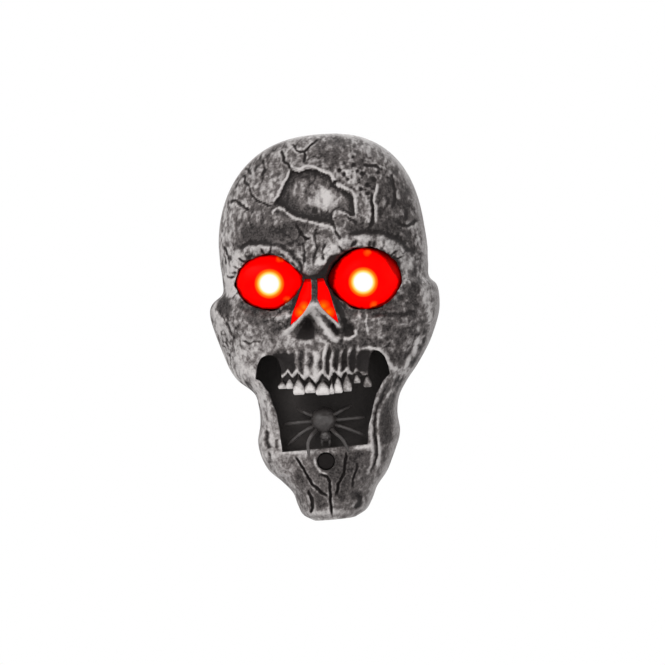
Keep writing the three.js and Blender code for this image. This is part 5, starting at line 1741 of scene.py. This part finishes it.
@dataclass
class EyeLenses:
    """Red domed lenses behind the eye openings. The stops' colours run outward from a lamp."""

    fit: float = 0.3
    wall: float = 1.6
    dome_top: float = 36.0
    dome_edge: float = 31.5
    edge_step: float = 0.4
    back: float = 22.8
    rings: int = 26
    count: int = 96
    glow_reach: float = 9.7
    stops: Stops = (
        (0.0, (1.0, 1.0, 1.0)),
        (0.39, (1.0, 1.0, 1.0)),
        (0.47, (1.0, 0.8, 0.16)),
        (0.56, (1.0, 0.24, 0.004)),
        (0.68, (0.98, 0.0, 0.0)),
    )

    def dome(self, eye: Eye, inset: float, top: float, edge: float, reaches: Array) -> Array:
        """Rings of a dome: the eye's outline shrunk to each reach, on a quarter-circle rise to the top.

        Args:
            eye: Whose outline.
            inset: Distance inside the opening.
            top, edge: Depths of the dome's middle and its edge.
            reaches: Size of each ring in shares of the outline.

        Returns:
            Points by ring and column.
        """
        middle = np.array([eye.x, eye.z])
        flat = middle + (eye.ring(-inset, self.count) - middle) * reaches[:, None, None]
        depth = edge + (top - edge) * np.sqrt(1 - reaches**2)
        return np.concatenate([flat, np.broadcast_to(depth[:, None, None], (*flat.shape[:2], 1))], axis=2)

    def lens(self, eye: Eye) -> Piece:
        """Build one lens: outer dome, side wall, and inner dome, as one closed skin.

        Args:
            eye: The opening that it stands behind.

        Returns:
            The piece.
        """
        inward = np.linspace(1.0, 0.02, self.rings)
        outer = self.dome(eye, self.fit, self.dome_top, self.dome_edge, inward[::-1])
        inner_top, inner_edge = self.dome_top - self.wall, self.dome_edge - self.edge_step
        inner = self.dome(eye, self.fit + self.wall, inner_top, inner_edge, inward)
        rim = np.stack([outer[-1], inner[0]])
        rim[..., 2] = self.back
        side = eye.side.name.lower()
        solid = closed_loops(np.concatenate([outer, rim, inner]), outward=False)
        mesh = make_mesh(f"lit_lens_{side}", *solid)
        # The stored reach is raised where the socket's edge throws its shadow, so the lens's edge colour paints
        # shade there.
        reach = np.concatenate([inward[::-1], [1.0, 1.0], inward])
        store(mesh, "reach", np.outer(reach, 1 + eye.lens_shadow(around(self.count))).reshape(-1))
        piece = make_piece(mesh, 40.0)
        LitLens(f"lit_red_{side}", (eye.lamp,), self.glow_reach, self.stops, eye.glints).dress(piece)
        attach(piece, Body.HOUSING.value)
        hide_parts(f"eye_lens_{side}")
        return piece

    def build(self) -> list[Piece]:
        """Build both lenses."""
        return [self.lens(eye) for eye in EYES]


@dataclass
class NoseInsert:
    """Red insert behind the nose: a rib that fills each slit, and the plate that joins them."""

    mask: SkullMask
    gap: float = 0.2
    recess: float = 1.3
    thickness: float = 4.4
    plate_half: float = 2.4
    plate_span: Point = (3.0, 19.0)
    plate_recess: float = 4.3
    # Heights over which the insert's top darkens to painted shade.
    shaded_span: Point = (12.0, 20.6)
    rows: int = 40
    columns: int = 16
    hot: Points = ((-4.2, 8.6), (-6.2, 6.4), (4.4, 8.8), (6.2, 6.0))
    glow_reach: float = 6.5
    stops: Stops = (
        (0.0, (1.0, 0.22, 0.0)),
        (0.22, (1.0, 0.07, 0.0)),
        (0.45, (0.97, 0.0, 0.0)),
        (1.0, (0.8, 0.0, 0.0)),
    )

    def rib(self, side: Side) -> Solid:
        """Rib of one slit: rows between the slit's two edges, its front a little under the face.

        Args:
            side: Which slit.

        Returns:
            Points and faces.
        """
        edge = self.mask.slit_sides(side)
        lowest = int(edge[:, 1].argmin())
        inner, outer = edge[lowest::-1], edge[lowest:]
        z = np.linspace(inner[0, 1] + 0.5, inner[-1, 1] - self.gap, self.rows)
        near = np.interp(z, inner[:, 1], inner[:, 0]) + self.gap
        far = np.interp(z, outer[:, 1], outer[:, 0]) - self.gap
        return self.slab(side, z, near, np.maximum(far, near + 0.05), self.recess)

    def slab(self, side: Side, z: Array, near: Array, far: Array, recess: float) -> Solid:
        """Closed slab between two edges, its front under the face.

        Args:
            side: Which way it goes out from the septum.
            z: Height of each row.
            near, far: Distances of each row's edges from the septum's middle.
            recess: Distance of its front under the face.

        Returns:
            Points and faces.
        """
        form = self.mask.form
        share = np.linspace(0, 1, self.columns)[None, :]
        x = self.mask.septum_x + side.value * (near[:, None] + (far - near)[:, None] * share)
        height = z[:, None] + 0 * share
        front = form.plain_at(x, height) + form.relief(x, height) - recess
        skins = [np.dstack([x, height, depth]) for depth in (front, front - self.thickness)]
        return closed_loops(np.concatenate([skins[0], skins[1][:, ::-1]], axis=1), side is Side.RIGHT)

    def build(self) -> Piece:
        """Build the insert as one piece.

        Returns:
            The piece.
        """
        half = np.full(self.rows, self.plate_half)
        z = np.linspace(*self.plate_span, self.rows)
        plate = self.slab(Side.RIGHT, z, -half, half, self.plate_recess)
        mesh = make_mesh("nose_insert", *joined(self.rib(Side.LEFT), self.rib(Side.RIGHT), plate))
        _, height, _ = places_of(mesh)
        # The insert's top, toward the bridge, takes the lens's edge colour: painted shade.
        store(mesh, "reach", smoothstep(height, *self.shaded_span))
        piece = make_piece(mesh, 40.0)
        LitLens("lit_red_nose", self.hot, self.glow_reach, self.stops).dress(piece)
        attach(piece, Body.HOUSING.value)
        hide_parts("nose_lens")
        return piece


@dataclass(frozen=True)
class Leg:
    """One leg: side, rise of its root, and angle and reach of its knee and tip, in abdomen radii."""

    side: Side
    root: float
    knee: Point
    tip: Point
    over_lip: bool = False


@dataclass
class Spider:
    """Spider that is pressed: abdomen, head with eyes and fangs, and eight jointed legs.

    Abdomen and head are half sizes in shares of the radius.
    """

    x: float = 0.3
    z: float = -41.1
    radius: float = 5.6
    leg_radius: float = 0.75
    leg_joints: tuple[float, ...] = (0.33, 0.66, 0.86)
    back: float = 19.9
    tray_front: float = 19.1
    press_room: float = 2.4
    lip_depth: float = 29.3
    abdomen: Sizes = (1.0, 0.98, 0.92)
    head: Sizes = (0.43, 0.44, 0.45)
    eye: Sizes = (0.55, 0.55, 0.5)
    fang_radius: float = 0.8
    fang_steps: int = 16
    colour: Colour = (0.047, 0.041, 0.039)
    worn: Colour = (0.088, 0.079, 0.076)
    legs: tuple[Leg, ...] = each(
        Leg,
        (Side.LEFT, 0.3, (25.0, 1.6), (25.0, 2.3)),
        (Side.RIGHT, 0.3, (26.0, 1.6), (26.0, 2.4)),
        (Side.LEFT, -0.05, (-3.0, 2.0), (-3.5, 3.2)),
        (Side.RIGHT, -0.02, (1.5, 2.0), (2.0, 3.2)),
        (Side.LEFT, -0.36, (-29.0, 2.2), (-32.5, 3.45)),
        (Side.RIGHT, -0.32, (-21.0, 2.2), (-23.0, 3.45)),
        (Side.LEFT, -0.66, (-57.0, 2.1), (-68.5, 3.0), True),
        (Side.RIGHT, -0.66, (-45.0, 2.3), (-51.5, 3.3), True),
    )

    @property
    def middle(self) -> float:
        """Depth of the abdomen's middle."""
        return self.back + 0.68 * self.radius

    def ball(
        self, place: Sequence[float], half: Sequence[float], rows: int, columns: int, rough: float, seed: int
    ) -> Solid:
        """Lumpy ball: an ellipsoid by latitude and longitude, flattened where it meets its seat.

        Args:
            place: Middle, as x, z and depth.
            half: Half sizes the same way.
            rows, columns: Steps from pole to pole, and round.
            rough: Height of its lumps in shares of its size.
            seed: Which lumps.

        Returns:
            Points and faces.
        """
        tilt = np.linspace(0, math.pi, rows + 2)[1:-1][:, None]
        turn = around(columns)[None, :]
        across, up = np.sin(tilt) * np.cos(turn), np.sin(tilt) * np.sin(turn)
        lump = 1 + rough * layered_noise(across * 3 + np.cos(tilt), up * 3, 0.7, seed)
        x = place[0] + half[0] * lump * across
        z = place[1] + half[1] * lump * up
        depth = np.maximum(place[2] - half[2] * lump * np.cos(tilt), self.back)
        low = [place[0], place[1], max(place[2] - half[2], self.back)]
        high = [place[0], place[1], place[2] + half[2]]
        points = np.vstack([np.dstack([x, z, depth]).reshape(-1, 3), [low, high]])
        count = rows * columns
        ends = fan(columns, 0, count)[:, [1, 0, 2]].tolist()
        ends += fan(columns, count - columns, count + 1).tolist()
        return points, loop_sides(rows, columns) + ends

    def place(self, leg: Leg, polar: Point, depth: float) -> Sizes:
        """Place at an angle above level in degrees and a reach in shares of the abdomen's radius."""
        turn, out = math.radians(polar[0]), polar[1] * self.radius
        return self.x + leg.side.value * out * math.cos(turn), self.z + out * math.sin(turn), depth

    def leg(self, leg: Leg) -> Solid:
        """One leg along a smooth line, swollen at its joints and drawn out to a point.

        Args:
            leg: Its root, knee and tip.

        Returns:
            Points and faces.
        """
        across_lip = self.lip_depth + self.press_room + 1.3 * self.leg_radius
        resting = self.tray_front + self.press_room + 1.4 * self.leg_radius
        knee_depth = across_lip if leg.over_lip else self.middle + 0.57 * self.radius
        hip_x = self.x + leg.side.value * 0.5 * self.radius
        hip = (hip_x, self.z + leg.root * self.radius, self.middle - self.leg_radius)
        knee = self.place(leg, leg.knee, knee_depth)
        tip = self.place(leg, leg.tip, across_lip if leg.over_lip else resting)
        shoulder_x = hip[0] + 0.5 * (knee[0] - hip[0])
        shoulder = (shoulder_x, hip[1] + 0.4 * (knee[1] - hip[1]), knee_depth - self.leg_radius)
        path = smooth_path([hip, shoulder, knee, tip], 44)
        share = np.linspace(0, 1, len(path))
        slim = 1.16 - 0.34 * share + 0.14 * sum(bell(share - joint, 0.035) for joint in self.leg_joints)
        pointed = np.sqrt(np.clip((1.02 - share) / 0.1, 0.05, 1))
        return tube(path, self.leg_radius * slim * pointed)

    def face(self, place: Sequence[float], side: Side) -> list[Solid]:
        """One eye and one fang on the head.

        Args:
            place: Middle of the head, as x, z and depth.
            side: Which side.

        Returns:
            Points and faces of the two.
        """
        x, z, depth = place
        eye = (x + side.value * 0.9, z - 0.9, depth + 1.9)
        root = x + side.value * 0.25 * self.radius
        bends = [(root, z - 1.2, depth), (root + 0.3 * side.value, z - 2.9, depth + 0.4)]
        bends.append((root + 0.1 * side.value, z - 4.5, depth))
        radii = self.fang_radius * np.linspace(1.0, 0.45, self.fang_steps)
        fang = tube(smooth_path(bends, self.fang_steps), radii)
        return [self.ball(eye, self.eye, 10, 14, 0.0, 9), fang]

    def build(self) -> Piece:
        """Build the spider as one piece on the button.

        Returns:
            The piece.
        """
        size = self.radius
        head_depth = self.tray_front + self.press_room + self.head[2] * size
        head = (self.x + 0.1 * size, self.z - 1.25 * size, head_depth)
        body = (self.x, self.z, self.middle)
        parts = [self.ball(body, [share * size for share in self.abdomen], 40, 64, 0.03, 3)]
        parts.append(self.ball(head, [share * size for share in self.head], 24, 36, 0.05, 5))
        for side in Side:
            parts += self.face(head, side)
        parts += [self.leg(leg) for leg in self.legs]
        piece = make_piece(make_mesh("spider_figure", *joined(*parts)), 60.0)
        Moulded("spider_black", self.colour, self.worn, 0.5, 900.0, 0.0004, 0.4).dress(piece)
        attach(piece, Body.BUTTON.value)
        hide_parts("spider")
        return piece


@dataclass
class ReturnSpring:
    """Coil behind the spider, between the plunger and the wall of its room."""

    x: float
    z: float
    plunger: float = 2.8
    room: float = 4.8
    turns: int = 3
    wire: float = 0.5
    floor: float = 14.3
    rest: float = 3.7
    press: float = 2.0
    end_gap: float = 0.1

    def build(self) -> Piece:
        """Build the spring: a round wire carried along an even coil.

        Returns:
            The piece.
        """
        radius = (self.plunger + self.room) / 2
        turn = np.linspace(0, 2 * math.pi * self.turns, 48 * self.turns)
        low = self.floor + self.wire / 2 + self.end_gap
        rise = low + (self.rest - self.wire - 2 * self.end_gap) * turn / turn[-1]
        path = np.column_stack([self.x + radius * np.cos(turn), self.z + radius * np.sin(turn), rise])
        mesh = make_mesh("return_spring", *tube(path, np.full(len(path), self.wire / 2), 10))
        piece = make_piece(mesh, 60.0)
        Plated("spring_steel").dress(piece)
        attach(piece, Body.HOUSING.value)
        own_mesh(piece)
        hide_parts("button_spring")
        return piece


@dataclass
class SensorWindow:
    """Smoked disc in the chin, with a rounded edge."""

    mask: SkullMask
    fit: float = 0.3
    back: float = 19.9
    edge: float = 0.5
    count: int = 72
    colour: Colour = (0.011, 0.0092, 0.0088)
    worn: Colour = (0.018, 0.0155, 0.015)

    def build(self) -> Piece:
        """Build the disc: a rounded profile carried round its axis, closed back and front.

        Returns:
            The piece.
        """
        place = [np.array([middle]) for middle in self.mask.window]
        form = self.mask.form
        front = (form.plain_at(*place) + form.relief(*place))[0] - self.fit
        radius = self.mask.window_radius - self.fit
        turn = np.linspace(0, math.pi / 2, 8)
        rounded = radius - self.edge + self.edge * np.cos(turn), front - self.edge + self.edge * np.sin(turn)
        radii = np.concatenate([[radius], rounded[0], [radius / 2, 0.05]])[:, None]
        depths = np.concatenate([[self.back], rounded[1], [front + 0.04, front + 0.06]])[:, None]
        angle = around(self.count)[None, :]
        x, z = place[0] + radii * np.cos(angle), place[1] + radii * np.sin(angle)
        solid = closed_loops(np.dstack([x, z, depths + 0 * angle]))
        piece = make_piece(make_mesh("smoked_window", *solid))
        Moulded("smoked_disc", self.colour, self.worn, 0.5, 600.0, 0.00005, 0.05).dress(piece)
        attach(piece, Body.HOUSING.value)
        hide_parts("sensor_window")
        return piece


@dataclass
class Innards:
    """Solids that keep their shape, and the finish of each."""

    black: Colour = (0.018, 0.016, 0.015)

    def finishes(self) -> dict[Finish, tuple[str, ...]]:
        """Finish of every carried-over node.

        Returns:
            Starts of the nodes' names, by finish.
        """
        black = self.black
        cone = Moulded("cone_paper", (0.016, 0.016, 0.016), (0.03, 0.029, 0.028), 0.85, 2400.0)
        frame_steel = Plated("frame_steel", (0.42, 0.43, 0.44), (0.2, 0.19, 0.18))
        sleeve = Moulded("capacitor_sleeve", (0.03, 0.034, 0.042), (0.05, 0.055, 0.065), 0.35, 900.0)
        lamp = Moulded("lamp_red", (0.75, 0.06, 0.03), (0.85, 0.12, 0.06), 0.2, 600.0, 0.00005, 0.5)
        tray = Moulded("tray_black", (0.026, 0.022, 0.0205), (0.042, 0.036, 0.034), 0.62, 800.0, 0.0005, 0.2)
        return {
            Moulded("cover_black", black, (0.035, 0.032, 0.031), 0.55, 1700.0): ("back_cover", "lamp_cup"),
            Moulded("door_black", black, (0.04, 0.037, 0.036), 0.5, 1900.0): ("battery_door",),
            tray: ("mouth_tray",),
            Moulded("button_black", black, (0.05, 0.046, 0.044), 0.45): (
                "button_plunger", "press_switch", "sound_chip", "power_switch_slider", "light_sensor",
            ),
            Plated("screw_steel"): (
                "battery_door_screw", "cover_screw", "board_screw", "tray_screw", "retaining_clip",
            ),
            Plated("contact_steel", (0.6, 0.6, 0.59), (0.36, 0.33, 0.28)): ("contact_",),
            frame_steel: ("speaker_frame", "power_switch_body"),
            Moulded("board_green", (0.02, 0.11, 0.045), (0.03, 0.16, 0.06), 0.4, 700.0): ("main_board",),
            Moulded("cell_sleeve", (0.05, 0.16, 0.075), (0.07, 0.2, 0.1), 0.35, 900.0): ("battery_cell",),
            sleeve: ("capacitor",),
            lamp: ("lamp_left", "lamp_right"),
            cone: ("speaker_cone",),
            Moulded("red_vinyl", (0.42, 0.012, 0.01), (0.5, 0.03, 0.022), 0.42, 1200.0): (
                "battery_lead_red", "switch_lead", "eye_lead",
            ),
            Moulded("black_vinyl", (0.014, 0.013, 0.013), (0.03, 0.028, 0.027), 0.42, 1200.0): (
                "battery_lead_black", "speaker_lead",
            ),
        }

    def dress(self) -> int:
        """Dress every node. A later finish takes the place of an earlier one, as on the door's screw.

        Returns:
            How many are dressed.
        """
        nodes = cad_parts
        dressed = set()
        for finish, starts in self.finishes().items():
            chosen = [name for name in nodes if name.startswith(starts)]
            finish.dress(*(nodes[name] for name in chosen))
            dressed.update(chosen)
        return len(dressed)


@dataclass
class Studio:
    """Pale floor, soft light and a camera at the photograph's angle.

    Pixel is a pixel's size in millimetres, and origin the pixel where the face frame's origin is seen.
    """

    azimuth: float = 6.0
    roll: float = 2.25
    pixel: float = 0.4404
    image: int = 665
    origin: Point = (325.2, 326.3)
    lens: float = 300.0
    sensor: float = 36.0
    plane_depth: float = 12.0
    floor_z: float = -200.0
    floor_half: float = 3.0
    room: Colour = (0.9, 0.92, 0.95)
    room_strength: float = 0.42
    white: Colour = (1.0, 1.0, 1.0)

    def camera(self) -> None:
        """Place the camera: long lens, turned and rolled so that the face frame's origin meets its pixel."""
        turned = Matrix.Rotation(math.radians(self.azimuth), 4, "Z")
        upright = Matrix.Rotation(math.pi / 2, 4, "X")
        rolled = Matrix.Rotation(math.radians(-self.roll), 4, "Z")
        pixel = self.pixel * MM
        across, down = (self.image / 2 - place for place in self.origin)
        distance = pixel * self.image * self.lens / self.sensor + self.plane_depth * MM
        away = Matrix.Translation((across * pixel, -down * pixel, distance))
        data = bpy.data.cameras.new("portrait_camera")
        data.lens, data.sensor_width = self.lens, self.sensor
        data.clip_start, data.clip_end = 0.05, 50.0
        made = bpy.data.objects.new("portrait_camera", data)
        made.matrix_world = turned @ upright @ rolled @ away
        link(made)
        bpy.context.scene.camera = made

    def lamp(self, name: str, place: Sequence[float], size: float, watts: float) -> None:
        """Add a square soft lamp that faces the skull.

        Args:
            name: The lamp's name.
            place: Where it stands, in metres.
            size: Its side, in metres.
            watts: Its power.
        """
        skull = Vector((0.0, -0.02, 0.0))
        data = bpy.data.lights.new(name, "AREA")
        data.size, data.energy = size, watts
        made = bpy.data.objects.new(name, data)
        made.location = place
        made.rotation_euler = (skull - Vector(place)).to_track_quat("-Z", "Y").to_euler()
        link(made)

    def world(self) -> None:
        """Make the room white where the camera or a reflection sees it, and a plain soft light elsewhere."""
        shader = Shader(bpy.data.worlds.new("pale_room"))
        mirrored = shader.math("MAXIMUM", shader.ray("Glossy"), shader.ray("Transmission"))
        seen = shader.math("MAXIMUM", shader.ray("Camera"), mirrored)
        light = {"Color": (*self.room, 1.0), "Strength": self.room_strength}
        soft = shader.node("ShaderNodeBackground", inputs=light)
        white = shader.node("ShaderNodeBackground", inputs={"Color": (*self.white, 1.0)})
        mix = shader.node("ShaderNodeMixShader", inputs={0: seen, 1: soft, 2: white})
        shader.node("ShaderNodeOutputWorld", inputs={"Surface": mix})
        bpy.context.scene.world = shader.owner

    def floor(self) -> None:
        """Lay a wide pale floor that keeps the shadow near the skull and fades to white further out."""
        half, z = self.floor_half, self.floor_z * MM
        mesh = bpy.data.meshes.new("studio_floor")
        corners = [(-half, -half, z), (half, -half, z), (half, half, z), (-half, half, z)]
        mesh.from_pydata(corners, [], [[0, 1, 2, 3]])
        made = bpy.data.objects.new("studio_floor", mesh)
        link(made)
        shader = Shader(bpy.data.materials.new("pale_floor"))
        tint = shader.noise(30.0, 4.0)
        colour = shader.blend(tint.between(0.3, 0.7), (0.9, 0.9, 0.9), (0.93, 0.93, 0.925))
        matte = shader.node("ShaderNodeBsdfDiffuse", inputs={"Color": colour})
        glow = shader.node("ShaderNodeEmission", inputs={"Color": (*self.white, 1.0), "Strength": 1.0})
        away = shader.vector("LENGTH", shader.place(), output="Value")
        share = shader.ray("Camera") * (0.55 + 0.45 * away.between(0.15, 0.5))
        mix = shader.node("ShaderNodeMixShader", inputs={0: share, 1: matte, 2: glow})
        shader.node("ShaderNodeOutputMaterial", inputs={"Surface": mix})
        mesh.materials.append(shader.owner)

    def build(self) -> None:
        """Set up the whole studio."""
        bpy.context.scene.view_settings.view_transform = "Standard"
        self.camera()
        self.world()
        self.floor()
        self.lamp("key_light", (-0.45, -0.8, 0.55), 0.5, 6.5)
        self.lamp("fill_light", (0.6, -0.75, 0.15), 0.6, 2.2)
        self.lamp("back_light", (0.1, 0.7, 0.5), 0.5, 3.0)


def report(piece: Piece) -> None:
    """Log a piece's name and how many triangles it has."""
    triangles = sum(len(face.vertices) - 2 for face in piece.data.polygons)
    LOG.info("%s: %d triangles", piece.name, triangles)


def main() -> None:
    """Build the studio, then every piece in order, and report each one."""
    logging.basicConfig(level=logging.INFO, format="%(message)s")
    Studio().build()
    LOG.info("nodes dressed: %d", Innards().dress())
    form = SkullForm()
    mask = SkullMask(form)
    spider = Spider()
    pieces = [mask.build(), UpperTeeth(form).build(), *EyeLenses().build(), NoseInsert(mask).build()]
    pieces += [spider.build(), ReturnSpring(spider.x, spider.z).build(), SensorWindow(mask).build()]
    for piece in pieces:
        report(piece)


if __name__ == "__main__":
    main()
